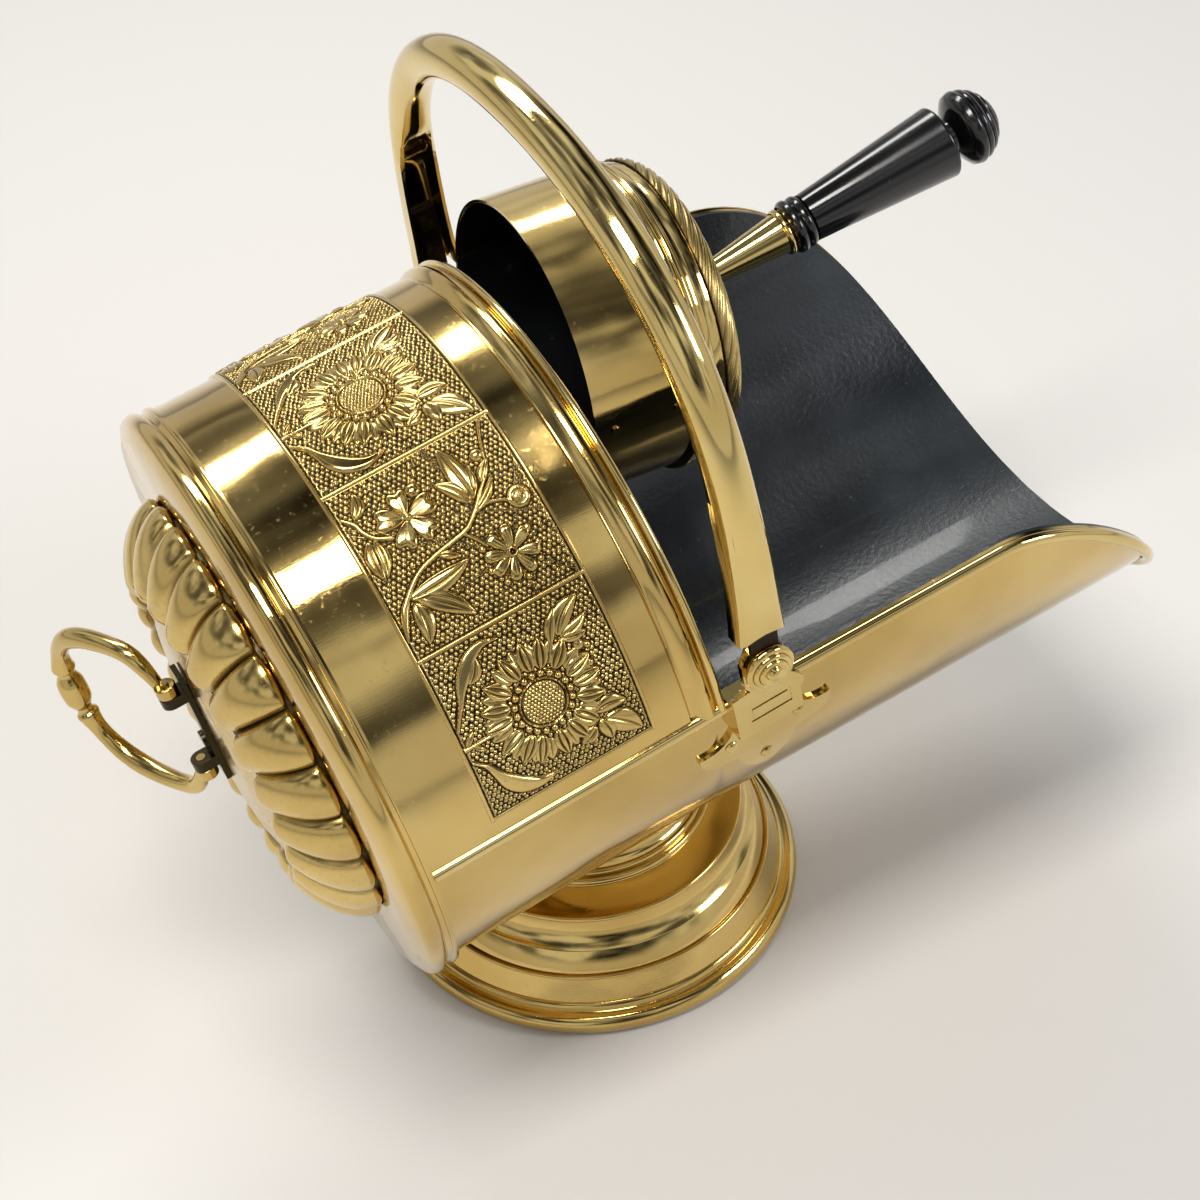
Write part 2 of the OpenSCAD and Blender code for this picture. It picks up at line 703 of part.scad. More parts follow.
// The hinge's frame: y along the hinge line, -x away from the boss
module on_hinge() {
  on_drum() translate([tip_axis, 0, tip_n]) rotate([tip_slope, 0, 0]) children();
}

// Strip on the boss with two upright ears
module tip_plate() {
  foot_x = tip_disc - tip_axis;
  color("#b98d35") difference() {
    on_hinge() difference() {
      union() {
        translate([foot_x - tip_plate_t, -eye_y - 6, -5]) cube([tip_plate_t, 2 * eye_y + 12, 10]);
        for (side = [-1, 1]) {
          translate([foot_x - tip_plate_t, side * eye_y - side * (eye_half + play) - (side > 0 ? 5 : 0), -4.5])
            rotate([0, -90, 0]) cube([9, 5, tip_axis_gap()]);
          translate([0, side * eye_y - side * (eye_half + play) - (side > 0 ? 5 : 0), 0]) rod_y(4.5, 0, 5);
        }
      }
      rod_y(tip_pin_r, -far / 2, far / 2);
    }
    on_drum() rod_x(tip_bolt_r, -far, far);
  }
}
function tip_axis_gap() = tip_disc - tip_plate_t - tip_axis;

// Screw through the boss's middle, with its nut behind
module tip_bolt() {
  color("#8d7340") on_drum() {
    rod_x(tip_bolt_r, tip_disc - tip_plate_t, tip_disc + 10);
    rod_x(tip_bolt_r * 1.7, tip_disc - tip_plate_t - 1.8, tip_disc - tip_plate_t);
    difference() {
      translate([plate_s - boss_hollow + play, 0, 0]) rotate([0, 90, 0]) cylinder(r = 5, h = 3.5, $fn = 6);
      rod_x(tip_bolt_r, tip_disc, 0);
    }
  }
}

module tip_pins() {
  color("#8d7340") on_hinge() both_sides()
    rod_y(tip_pin_r, -eye_y - eye_half - 1.4, -eye_y + eye_half + play + 5);
}

// Half of the loop's centre line, from an eye to the knuckle: [across, down, radius]
loop_top = 3.4;
loop_shoulder = 0.36 * tip_l;
function shoulder_at(u, r) = [
  (tip_eyes + (tip_w - tip_eyes) * (1 - pow(1 - u, 3))) / 2, loop_top + (loop_shoulder - loop_top) * u, r
];
function bow_at(t, r) = [
  tip_w / 2 * pow(cos(t), 0.77), loop_shoulder + (tip_l - loop_shoulder) * pow(sin(t), 0.77), r
];
loop_half = [
  shoulder_at(0, 2.4), shoulder_at(0.12, 3), shoulder_at(0.3, 3.4), shoulder_at(0.55, 3.5),
  bow_at(0, 3.5), bow_at(12, 3.7), bow_at(26, 3.9), bow_at(40, 3.7), bow_at(54, 3.4), bow_at(66, 3.4),
  bow_at(75, 4), bow_at(79, 4.4), bow_at(82, 3.2), bow_at(84, 3.4), bow_at(86, 5.4), bow_at(90, 6.2)
];
loop_line = concat(
  [for (p = loop_half) [-p[0], p[1], p[2]]],
  [for (i = [len(loop_half) - 2:-1:0]) loop_half[i]]
);
// One ring of the loop; the first and last lie flat inside the eyes
function loop_ring(i) =
  let (
    n = len(loop_line) - 1,
    p = loop_line[i],
    v = loop_line[min(i + 1, n)] - loop_line[max(i - 1, 0)],
    ahead = i == 0 ? [0, 0, -1] : i == n ? [0, 0, 1] : unit([0, v[0], -v[1]]),
    out = cross([1, 0, 0], ahead)
  ) [for (k = [0:7]) [0, p[0], -p[1]] + p[2] * (cos(45 * k) * out + sin(45 * k) * [-1, 0, 0])];

// D shaped loop with a knuckle in the middle and an eye at each end
module tip_loop() {
  color("#d0a345") on_hinge() rotate([0, tip_swing, 0]) {
    skin([for (i = [0:len(loop_line) - 1]) loop_ring(i)]);
    both_sides() translate([0, -eye_y, 0]) difference() {
      rod_y(4.6, -eye_half, eye_half);
      rod_y(tip_pin_r + fit, -far, far);
    }
  }
}

// ---- scoop ----

scoop_x = 17.7;
scoop_lean = 25;
scoop_yaw = -2.3;
blade_r = scoop_r - scoop_sheet;
blade_lap = 7;
rim_x = scoop_hood_l;
// The blade's far side leans on the trough's wall where it laps up inside the hood
scoop_off = blade_r + 1.1;
scoop_place = [scoop_x, sqrt(lining_r * lining_r - lap_n * lap_n) - scoop_off * cos(scoop_lean),
  axis_z + lap_n * cos(tilt) + scoop_off * sin(scoop_lean)];

// The scoop's frame: x from the mouth towards the handle
module on_scoop() {
  translate(scoop_place) rotate([0, 0, scoop_yaw]) children();
}
module on_grip() {
  on_scoop() translate([rim_x + 22.5, 0, 1.4]) rotate([0, 90 - grip_rise, 0]) children();
}

blade_steps = 16;
// Side view of the blade: under the hood, then swept down to the tip
blade_side = concat(
  [[rim_x, -far], [rim_x, blade_lap], [0, blade_lap], [0, 0]],
  [for (i = [1:blade_steps]) let (u = i / blade_steps) [-blade_l * u, -blade_r * (1 - pow(1 - u, 2.2))]],
  [[-blade_l, -far]]
);

module scoop_blade() {
  color("#cfa244") on_scoop() difference() {
    intersection() {
      about_axis() polygon([[blade_r, -blade_l], [blade_r, rim_x],
        [blade_r - scoop_sheet, rim_x], [blade_r - scoop_sheet, -blade_l]]);
      side_view(blade_side, -far, far);
    }
    at_scoop_rivets() rod_y(1.6, -far, 0);
  }
}

module scoop_hood() {
  color("#cfa244") on_scoop() difference() {
    intersection() {
      about_axis() polygon([[scoop_r, 0], [scoop_r, rim_x], [blade_r, rim_x], [blade_r, 0]]);
      above(-1.2);
    }
    at_scoop_rivets() rod_y(1.6, -far, 0);
  }
}

// Rivets where hood and blade lap
module at_scoop_rivets() {
  both_sides() for (x = [9, rim_x - 9]) translate([x, 0, 3]) children();
}
module scoop_rivets() {
  color("#cfa244") on_scoop() at_scoop_rivets() {
    rod_y(1.6, -scoop_r, -blade_r + scoop_sheet);
    rod_y(2.2, -scoop_r - 0.7, -scoop_r + 0.02);
  }
}

// Outer face of the scoop's end: double bead, polished shoulder, then the face
end_turn = concat(
  arc([scoop_r + 0.2, rim_x + 1.6], 1.8, -60, 80, 6),
  arc([scoop_r - 0.4, rim_x + 5], 1.8, -60, 70, 6),
  arc([scoop_r - 10, rim_x + 7], 8.4, 8, 30, 3)
);
shoulder = arc([scoop_r - 16.5, rim_x + 12], 14, -4, 76, 8);
end_face = [[scoop_r - 30, rim_x + 28.5], [18, rim_x + 32.5], [9, rim_x + 33.5], [0, rim_x + 33.5]];

module scoop_end() {
  color("#d6ab4a") difference() {
    on_scoop() about_axis() polygon(concat(
      [[scoop_r, rim_x], [scoop_r + 0.8, rim_x]], end_turn, shoulder, end_face,
      [[0, rim_x + 32], [18, rim_x + 31], [scoop_r - 31, rim_x + 27], [scoop_r - 12, rim_x + 20],
        [scoop_r - 4, rim_x + 9], [blade_r - scoop_sheet, rim_x + 1], [blade_r - scoop_sheet, rim_x]]));
    on_grip() cylinder(r = 3, h = far, center = true);
  }
}

leaf_steps = 4;
leaf_gap = 0.25;
leaf_rows = len(shoulder) - 1;
// Leaves lean round the shoulder as they climb it
function leaf_point(j, k) =
  let (
    p = shoulder[j],
    q = p - [scoop_r - 16.5, rim_x + 12],
    u = j / leaf_rows,
    v = 2 * ((k / leaf_steps) % 1) - 1,
    h = 0.1 + leaf_gap + leaf_h * (0.2 + 0.8 * sqrt(max(0, 1 - v * v))) * sqrt(max(0, sin(180 * min(0.97, 0.06 + 0.9 * u)))),
    w = p + h * unit(q),
    a = 360 * (k + 3 * leaf_steps * u) / (leaves * leaf_steps)
  ) [w[1], -w[0] * cos(a), w[0] * sin(a)];
function under_leaf(j, k) =
  let (
    p = shoulder[j] + leaf_gap * unit(shoulder[j] - [scoop_r - 16.5, rim_x + 12]),
    a = 360 * (k + 3 * leaf_steps * j / leaf_rows) / (leaves * leaf_steps)
  ) [p[1], -p[0] * cos(a), p[0] * sin(a)];

// Ring of slanting leaves on the shoulder of the scoop's end
module scoop_leaves() {
  color("#b98d35") on_scoop() tyre([for (k = [0:leaves * leaf_steps - 1]) concat(
    [for (j = [0:leaf_rows]) under_leaf(j, k)],
    [for (j = [leaf_rows:-1:0]) leaf_point(j, k)]
  )]);
}

ferrule_l = 62.9;
collar_l = 10.5;
grip_start = ferrule_l + collar_l;
grip_end = grip_start + grip_l;
tang_r = 2.8;

module scoop_ferrule() {
  color("#d6ab4a") difference() {
    on_grip() rotate_extrude() polygon(concat(
      [[tang_r, 8], [7, 8], [7, 12.4], [6.6, 13], [5.2, 16], [5.3, 21], [9.4, ferrule_l - 4]],
      arc([9.4, ferrule_l - 2.4], 1.6, -70, 80, 6),
      [[9.4, ferrule_l], [tang_r, ferrule_l]]
    ));
    // foot of the ferrule, flat on the scoop's end
    on_scoop() translate([rim_x + 33.5 - 40, -20, -20]) cube(40);
  }
}
module scoop_collar() {
  color("#15161a") on_grip() rotate_extrude() polygon(concat(
    [[tang_r, ferrule_l], [9.6, ferrule_l]],
    arc([10, ferrule_l + 2.7], 2.7, -80, 60, 7),
    arc([9.6, ferrule_l + 7.4], 2.7, -55, 85, 7),
    [[9.4, grip_start], [tang_r, grip_start]]
  ));
}
module scoop_grip() {
  color("#15161a") on_grip() rotate_extrude() polygon(concat(
    [[tang_r, grip_start], [11.2, grip_start], [grip_r - 0.4, grip_end - 6]],
    arc([grip_r - 1.6, grip_end - 1.6], 1.6, -10, 80, 5),
    [[8, grip_end], [tang_r, grip_end]]
  ));
}
knob_l = 27.4;
knob_r = grip_r + 0.4;
// A point on the knob's dome at angle a, raised by up
function dome_at(a, up) = [(knob_r + up) * cos(a), grip_end + 11.5 + (knob_l - 12 + up) * sin(a)];
module scoop_knob() {
  color("#15161a") on_grip() rotate_extrude() polygon(concat(
    [[tang_r, grip_end], [7.4, grip_end], [7.6, grip_end + 4.5], [knob_r - 3.5, grip_end + 7.5],
      [knob_r - 0.6, grip_end + 9.6]],
    [for (k = [0:4]) let (a = 14.5 * k) each
      [dome_at(a, 0), dome_at(a + 6, 0.4), dome_at(a + 11.5, 0), dome_at(a + 13, -0.9)]],
    [dome_at(74, 0), [0, grip_end + knob_l - 0.4], [0, grip_end + 12], [tang_r, grip_end + 12]]
  ));
}
module scoop_tang() {
  color("#7d8084") on_grip() cylinder(r = tang_r, h = grip_end + 12);
}
module scoop_nut() {
  color("#7d8084") on_grip() difference() {
    translate([0, 0, 3.4]) cylinder(r = 6, h = 4, $fn = 6);
    cylinder(r = tang_r, h = 20);
  }
}

foot();
foot_neck();
foot_bridge();
foot_bolt();
foot_nut();
trough_shell();
trough_lining();
lip_bead();
side_beads();
hood_shell();
hood_wire();
hood_lining();
end_plate();
end_lining();
end_boss();
bracket_right();
bracket_left();
bracket_rivets();
pivot_screw_right();
pivot_screw_left();
pivot_nut_right();
pivot_nut_left();
tip_plate();
tip_bolt();
tip_pins();
tip_loop();
bail();
bail_strap_right();
bail_strap_left();
bail_rivets();
scoop_blade();
scoop_hood();
scoop_rivets();
scoop_end();
scoop_leaves();
scoop_ferrule();
scoop_collar();
scoop_grip();
scoop_knob();
scoop_tang();
scoop_nut();
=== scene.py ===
import math

import bmesh
import bpy
import numpy as np
from mathutils import Matrix, Vector


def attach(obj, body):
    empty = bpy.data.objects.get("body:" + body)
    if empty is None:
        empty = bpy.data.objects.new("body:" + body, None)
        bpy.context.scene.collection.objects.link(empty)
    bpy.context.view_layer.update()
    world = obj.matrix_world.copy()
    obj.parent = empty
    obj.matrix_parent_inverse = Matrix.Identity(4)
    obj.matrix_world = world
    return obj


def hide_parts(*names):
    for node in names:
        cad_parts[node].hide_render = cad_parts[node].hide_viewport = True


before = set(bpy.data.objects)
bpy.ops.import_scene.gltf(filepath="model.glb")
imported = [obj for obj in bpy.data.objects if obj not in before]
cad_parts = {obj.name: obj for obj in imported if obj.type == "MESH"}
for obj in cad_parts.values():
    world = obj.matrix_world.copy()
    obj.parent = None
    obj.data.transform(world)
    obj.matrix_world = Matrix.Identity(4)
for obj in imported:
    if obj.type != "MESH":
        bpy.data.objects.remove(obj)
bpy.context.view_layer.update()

print("frame loaded:", len(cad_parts), "nodes")


# shared sizes, in millimetres as in the part's source
drum = {
    "trough": 128.4, "sheet": 1.6, "lining": 1.6, "back": -129.2, "tilt": 8.5, "underside": 92.6,
    "rim": 11.3, "bead": 2.7, "lap": 25.0, "lipStart": 135.0, "lipReach": 235.0, "flare": 4.6,
    "power": 3.3, "spigot": 6.6, "bracketBack": 4.0, "bracketFront": 34.0, "plateDepth": 15.5,
}
slope = math.radians(drum["tilt"])
axisHeight = drum["underside"] + drum["trough"] / math.cos(slope)
hoodRadius = drum["trough"] + drum["sheet"]
innerRadius = drum["trough"] - drum["sheet"]
beadMid = drum["trough"] + 0.3 + 0.3 * drum["bead"]  # radius on which the wired edges run
edgeUp = 0.88 * drum["bead"]  # how far the sheet reaches into its wired edge
plateAt = drum["back"] - drum["plateDepth"]
mergeDistance = 0.0005  # corners closer than this become one


def turn(degrees, axis):
    return Matrix.Rotation(math.radians(degrees), 4, axis)


def shift(x, y, z):
    return Matrix.Translation((x, y, z))


def cosine(degrees):
    return math.cos(math.radians(degrees))


def sine(degrees):
    return math.sin(math.radians(degrees))


def polar(centre, radius, angle):
    return centre[0] + radius * math.cos(angle), centre[1] + radius * math.sin(angle)


def circle(count):
    return np.linspace(0, 2 * math.pi, count + 1)[:-1]


def spun(along, radius, angle):
    return along, -radius * math.cos(angle), radius * math.sin(angle)


def unit(vector):
    return vector / np.linalg.norm(vector)


drumPlace = shift(0, 0, axisHeight) @ turn(-drum["tilt"], "Y")
axisPlace = drumPlace @ turn(90, "Y")


def arc(centre, radius, first, last, steps):
    return [polar(centre, radius, a) for a in np.radians(np.linspace(first, last, steps + 1))]


def beside(line, distance):
    points = np.array(line, float)
    ahead = np.vstack([points[1:], points[-1:]]) - np.vstack([points[:1], points[:-1]])
    ahead /= np.linalg.norm(ahead, axis=1)[:, None]
    return points + distance * np.stack([ahead[:, 1], -ahead[:, 0]], 1)


def smoothLine(points, steps):
    # a curve through all the points, evenly many steps in each stretch
    p = np.array(points, float)
    p = np.vstack([2 * p[0] - p[1], p, 2 * p[-1] - p[-2]])
    made = []
    for i in range(1, len(p) - 2):
        for t in np.arange(steps) / steps:
            a, b, c, d = p[i - 1:i + 3]
            made.append(0.5 * (2 * b + (c - a) * t + (2 * a - 5 * b + 4 * c - d) * t * t
                               + (3 * b - a - 3 * c + d) * t ** 3))
    made.append(p[-2])
    return np.array(made)


def addObject(name, data):
    made = bpy.data.objects.new(name, data)
    bpy.context.scene.collection.objects.link(made)
    return made


def addMesh(name, bm):
    mesh = bpy.data.meshes.new(name)
    bm.to_mesh(mesh)
    bm.free()
    return addObject(name, mesh)


def finishMesh(name, bm, place, closed=True, sharp=38):
    bmesh.ops.remove_doubles(bm, verts=bm.verts, dist=mergeDistance)
    if closed:
        bmesh.ops.holes_fill(bm, edges=bm.edges, sides=0)
        bmesh.ops.recalc_face_normals(bm, faces=bm.faces)
    bmesh.ops.transform(bm, matrix=Matrix.Scale(0.001, 4) @ place, verts=bm.verts)
    piece = addMesh(name, bm)
    piece.data.shade_smooth()
    piece.data.set_sharp_from_angle(angle=math.radians(sharp))
    return piece


def bentGrid(points, closedAcross=False, closedAlong=False):
    # a grid bent through points[row][column]; a closed way wraps round to its start
    rows, columns = points.shape[:2]
    across = columns if closedAcross else columns - 1
    along = rows if closedAlong else rows - 1
    bm = bmesh.new()
    bmesh.ops.create_grid(bm, x_segments=across, y_segments=along, size=0.5)
    mesh = bpy.data.meshes.new("bent")
    bm.to_mesh(mesh)
    place = np.empty(len(mesh.vertices) * 3)
    mesh.vertices.foreach_get("co", place)
    place = place.reshape(-1, 3) + 0.5
    column = np.rint(place[:, 0] * across).astype(int) % columns
    row = np.rint(place[:, 1] * along).astype(int) % rows
    mesh.vertices.foreach_set("co", points[row, column].ravel())
    bm.clear()
    bm.from_mesh(mesh)
    bpy.data.meshes.remove(mesh)
    return bm, row, column


def markHollows(bm, hollows, row, column):
    # how deep each point of a bent grid lies, which the tarnish follows
    layer = bm.verts.layers.float.new("hollow")
    for vert, deep in zip(bm.verts, np.array(hollows)[row, column].tolist()):
        vert[layer] = deep


def loft(name, rings, place, closedAlong=False, sharp=38):
    bm = bentGrid(np.array(rings, float), closedAcross=True, closedAlong=closedAlong)[0]
    return finishMesh(name, bm, place, sharp=sharp)


def turned(name, profile, place, steps=128, first=0.0, sweep=360.0, sharp=38):
    # a closed [radius, height] profile turned about the local z axis
    bm = bmesh.new()
    whole = sweep >= 360
    start = math.radians(first)
    line = [bm.verts.new((r * math.cos(start), r * math.sin(start), h)) for r, h in profile]
    edges = [bm.edges.new((line[i - 1], line[i])) for i in range(len(line))]
    bmesh.ops.spin(bm, geom=line + edges, cent=(0, 0, 0), axis=(0, 0, 1), dvec=(0, 0, 0),
                   angle=math.radians(sweep), steps=steps, use_merge=whole)
    return finishMesh(name, bm, place, sharp=sharp)


def joinPieces(name, pieces):
    bm = bmesh.new()
    for piece in pieces:
        mesh = piece.data
        bm.from_mesh(mesh)
        bpy.data.objects.remove(piece)
        bpy.data.meshes.remove(mesh)
    return addMesh(name, bm)


def linear(code):
    parts = [int(code[i:i + 2], 16) / 255 for i in (1, 3, 5)]
    return tuple(c / 12.92 if c <= 0.04045 else ((c + 0.055) / 1.055) ** 2.4 for c in parts) + (1,)


def setInputs(tree, node, inputs):
    for key, value in inputs.items():
        if isinstance(value, bpy.types.NodeSocket):
            tree.links.new(value, node.inputs[key])
        else:
            node.inputs[key].default_value = value


def addNode(tree, kind, inputs=None, **settings):
    made = tree.nodes.new(kind)
    for key, value in settings.items():
        setattr(made, key, value)
    setInputs(tree, made, inputs or {})
    return made


def addRamp(tree, factor, stops):
    made = addNode(tree, "ShaderNodeValToRGB", {"Fac": factor})
    ramp = made.color_ramp
    while len(ramp.elements) < len(stops):
        ramp.elements.new(0.5)
    for element, (position, code) in zip(ramp.elements, stops):
        element.position = position
        element.color = linear(code)
    return made.outputs["Color"]


def addNoise(tree, vector, scale, detail, **more):
    inputs = {"Vector": vector, "Scale": scale, "Detail": detail, **more}
    return addNode(tree, "ShaderNodeTexNoise", inputs).outputs["Fac"]


def addMath(tree, operation, a, b):
    return addNode(tree, "ShaderNodeMath", {0: a, 1: b}, operation=operation).outputs["Value"]


def remap(tree, value, low, high, start=0.0, end=1.0):
    inputs = {"Value": value, "From Min": low, "From Max": high, "To Min": start, "To Max": end}
    return addNode(tree, "ShaderNodeMapRange", inputs).outputs["Result"]


def newMaterial(name):
    made = bpy.data.materials.new(name)
    made.use_nodes = True
    tree = made.node_tree
    tree.nodes.clear()
    shader = addNode(tree, "ShaderNodeBsdfPrincipled")
    addNode(tree, "ShaderNodeOutputMaterial", {"Surface": shader.outputs["BSDF"]})
    where = addNode(tree, "ShaderNodeTexCoord").outputs["Object"]
    return made, tree, shader, where


def brass(name, tones, roughness, coat, scratch, dent, dark=None, grime=0.0):
    # a brass tone that drifts over the surface, with fine polishing marks and soft dents
    made, tree, shader, where = newMaterial(name)
    drift = addNoise(tree, where, 14.0, 4.0)
    fine = addNoise(tree, where, 420.0, 5.0)
    marks = addNode(tree, "ShaderNodeMapping", {"Vector": where, "Scale": (60.0, 900.0, 900.0)})
    lines = addNoise(tree, marks.outputs["Vector"], 1.6, 3.0)
    waves = addNoise(tree, where, 19.0, 1.5)
    colour = addRamp(tree, drift, list(zip((0.3, 0.52, 0.75), tones)))
    rough = remap(tree, drift, 0.35, 0.7, *roughness)
    rough = addMath(tree, "ADD", rough, remap(tree, fine, 0.6, 0.75, end=0.12))
    if dark:
        # brown tarnish left where polishing doesn't reach
        hollow = addNode(tree, "ShaderNodeAttribute", attribute_name="hollow").outputs["Fac"]
        amount = addMath(tree, "ADD", hollow, addMath(tree, "MULTIPLY", fine, grime))
        amount = remap(tree, amount, 0.15, 1.1)
        blend = addNode(tree, "ShaderNodeMixRGB", {"Fac": amount, "Color1": colour, "Color2": linear(dark)})
        colour = blend.outputs["Color"]
        rough = remap(tree, amount, 0.0, 1.0, rough, 0.55)
    soft = addNode(tree, "ShaderNodeBump", {"Height": waves, "Strength": 1.0, "Distance": dent})
    bump = addNode(tree, "ShaderNodeBump", {
        "Height": lines, "Normal": soft.outputs["Normal"], "Strength": scratch, "Distance": 0.00005})
    setInputs(tree, shader, {"Base Color": colour, "Roughness": rough, "Metallic": 1.0, "Coat Weight": coat,
                             "Coat Roughness": 0.09, "Normal": bump.outputs["Normal"]})
    return made


def paint(name, tones, roughness, grainScale, grainDepth, coat=0.0, scuffs=0.0,
          scuffCode="#5c5f62", stretch=(1, 1, 1)):
    # a coloured skin with a grain, a drifting gloss and small worn spots
    made, tree, shader, where = newMaterial(name)
    mapped = addNode(tree, "ShaderNodeMapping", {"Vector": where, "Scale": stretch}).outputs["Vector"]
    drift = addNoise(tree, where, 16.0, 5.0)
    grain = addNoise(tree, mapped, grainScale, 3.0)
    worn = remap(tree, addNoise(tree, where, 260.0, 6.0, Roughness=0.7), 0.66, 0.74, end=scuffs)
    colour = addNode(tree, "ShaderNodeMixRGB", {
        "Fac": worn, "Color1": addRamp(tree, drift, tones), "Color2": linear(scuffCode)}).outputs["Color"]
    rough = addMath(tree, "ADD", remap(tree, drift, 0.35, 0.7, *roughness), worn)
    bump = addNode(tree, "ShaderNodeBump", {"Height": grain, "Strength": 0.6, "Distance": grainDepth})
    setInputs(tree, shader, {"Base Color": colour, "Roughness": rough, "Coat Weight": coat,
                             "Coat Roughness": 0.06, "Normal": bump.outputs["Normal"]})
    return made


def steel(name, tones, roughness):
    made = paint(name, tones, roughness, 700.0, 0.00006, scuffs=0.25, scuffCode="#8b6b4d",
                 stretch=(0.2, 1, 1))
    made.node_tree.nodes["Principled BSDF"].inputs["Metallic"].default_value = 1.0
    return made


# each brass: three tones, then roughness from and to, coat, scratches and depth of dents in metres
lacqueredBrass = brass("lacquered brass sheet", ("#BFA05C", "#D3B56F", "#DFC581"),
                       (0.05, 0.15), 0.15, 0.22, 0.0016)
brightBrass = brass("bright turned brass", ("#CDB06A", "#DEC47E", "#EBD596"),
                    (0.04, 0.12), 0.15, 0.12, 0.0004)
embossedBrass = brass("embossed brass, dark in the hollows", ("#C3A662", "#D6B973", "#E3CB8A"),
                      (0.13, 0.23), 0.12, 0.12, 0.0001, dark="#2A2212", grime=0.3)
castBrass = brass("cast brass", ("#BC9F5C", "#D2B772", "#E2CA88"), (0.1, 0.22), 0.1, 0.25, 0.0005)
# near black all over, with lighter brass tones here and there: the hinge plate, its ears and its bolt
nearBlackCastBrass = brass("near-black cast brass", ("#2B2519", "#41371F", "#7A683F"), (0.25, 0.42), 0.1, 0.3, 0.0004)
# each paint: tones with their places, roughness from and to, fineness and depth of the grain
# black satin lining: the lighter blue-grey tones in its drift are painted sheen, a blue-grey reflection; the
# pale worn spots are dust and scuffs
blackLiningPaintedSheen = paint("black satin lining with painted blue-grey sheen", [(0.3, "#0F1418"), (0.6, "#1A2126"), (0.8, "#29323A")],
                    (0.26, 0.4), 380.0, 0.0003, coat=0.25, scuffs=0.5, scuffCode="#8A8F92")
blackLacquer = paint("black lacquer inside the scoop", [(0.3, "#0A0B0C"), (0.6, "#121416"), (0.8, "#1E2022")],
                     (0.22, 0.38), 420.0, 0.00015, coat=0.2, scuffs=0.4, scuffCode="#6E6250")
ebonisedWood = paint("ebonised wood", [(0.35, "#040405"), (0.6, "#08080A"), (0.8, "#121111")],
                     (0.12, 0.24), 300.0, 0.00006, coat=0.35, scuffs=0.12, stretch=(0.15, 1, 1))
plainSteel = steel("dull steel", [(0.3, "#6E7073"), (0.6, "#85878A"), (0.8, "#9A9C9E")], (0.35, 0.55))
# near-black steel: on the hoop's straps this dark tone is painted shade inside the legs' channels; the foot
# bolt shares it
darkSteelPaintedShade = steel("dark steel, painted shade on the hoop's straps", [(0.3, "#2A2420"), (0.6, "#3B332C"), (0.8, "#54483B")],
                  (0.45, 0.65))
print("materials made")


looks = {"lacquered_brass": lacqueredBrass, "bright_brass": brightBrass, "cast_brass": castBrass,
         "black_lining": blackLiningPaintedSheen, "ebonised_wood": ebonisedWood}  # the usual material of each slot


def dress(piece, body, slot, *nodes, material=None):
    piece.data.materials.clear()
    piece.data.materials.append(material or looks[slot])
    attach(piece, body)
    if nodes:
        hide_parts(*nodes)
    return piece


# hood: half a drum of sheet, with a rolled front moulding and its wire
hood = {"front": 0.0, "mouldingWidth": 12.0, "mouldingHeight": 2.2, "plainTo": -14.0, "wire": 1.7,
        "edge": 12.65, "bandBack": -99.8, "bandWidth": 72.7, "panelAngle": 32.0, "bandStart": 10.0}


def moulding(u):
    if u < 0.25:
        return -0.35 * hood["mouldingHeight"] * math.sin(math.pi * u / 0.25)
    return hood["mouldingHeight"] * math.sin(math.pi * (u - 0.25) / 0.75)


def hoodSweep(radius, edge):
    # from one side edge over the top to the other, as angles of the turned profile
    least = math.degrees(math.asin(edge / radius))
    return 90 + least, 180 - 2 * least


def makeHood():
    front = [(hoodRadius + moulding(u), hood["front"] - hood["mouldingWidth"] * (1 - u))
             for u in np.linspace(0, 1, 49)]
    behind = [(hoodRadius, s) for s in np.linspace(drum["back"], hood["plainTo"], 12)]
    inside = [(max(drum["trough"], r - drum["sheet"]), s) for r, s in reversed(front)]
    inside += [(drum["trough"], s) for s in np.linspace(hood["plainTo"], drum["back"], 12)]
    first, sweep = hoodSweep(hoodRadius, hood["edge"])
    profile = behind + front + inside
    dress(turned("hood_sheet", profile, axisPlace, 180, first, sweep),
          "scuttle", "lacquered_brass", "hood_shell")
    wire = arc((hoodRadius + hood["wire"] / 3, hood["front"] + hood["wire"]), hood["wire"], 0, 345, 23)
    dress(turned("hood_front_wire", wire, axisPlace, 180, first, sweep),
          "scuttle", "bright_brass", "hood_wire")


makeHood()
print("hood made")


# embossed band: panels of sunflower and blossom in turn, on a beaded ground
band = {"panels": 5, "step": 0.27, "overlap": 1.1, "side": 1.1, "rim": 1.0, "dip": -0.3,
        "lineHeight": 0.95, "lineWidth": 0.8, "fineHeight": 0.4, "fineWidth": 0.45, "fineIn": 1.75,
        "beadPitch": 2.1, "beadRadius": 0.92, "beadHeight": 0.72, "beadJitter": 0.28, "seed": 31,
        "broad": 1.18, "raised": 1.35}
panelHeight = math.radians(hood["panelAngle"]) * hoodRadius


def bulge(x):
    return np.sqrt(np.clip(1 - x * x, 0, 1))


def bell(x):
    return np.exp(-x ** 2)


def ballForm(u, v, centre, radius, rise):
    return rise * bulge(np.hypot(u - centre[0], v - centre[1]) / radius)


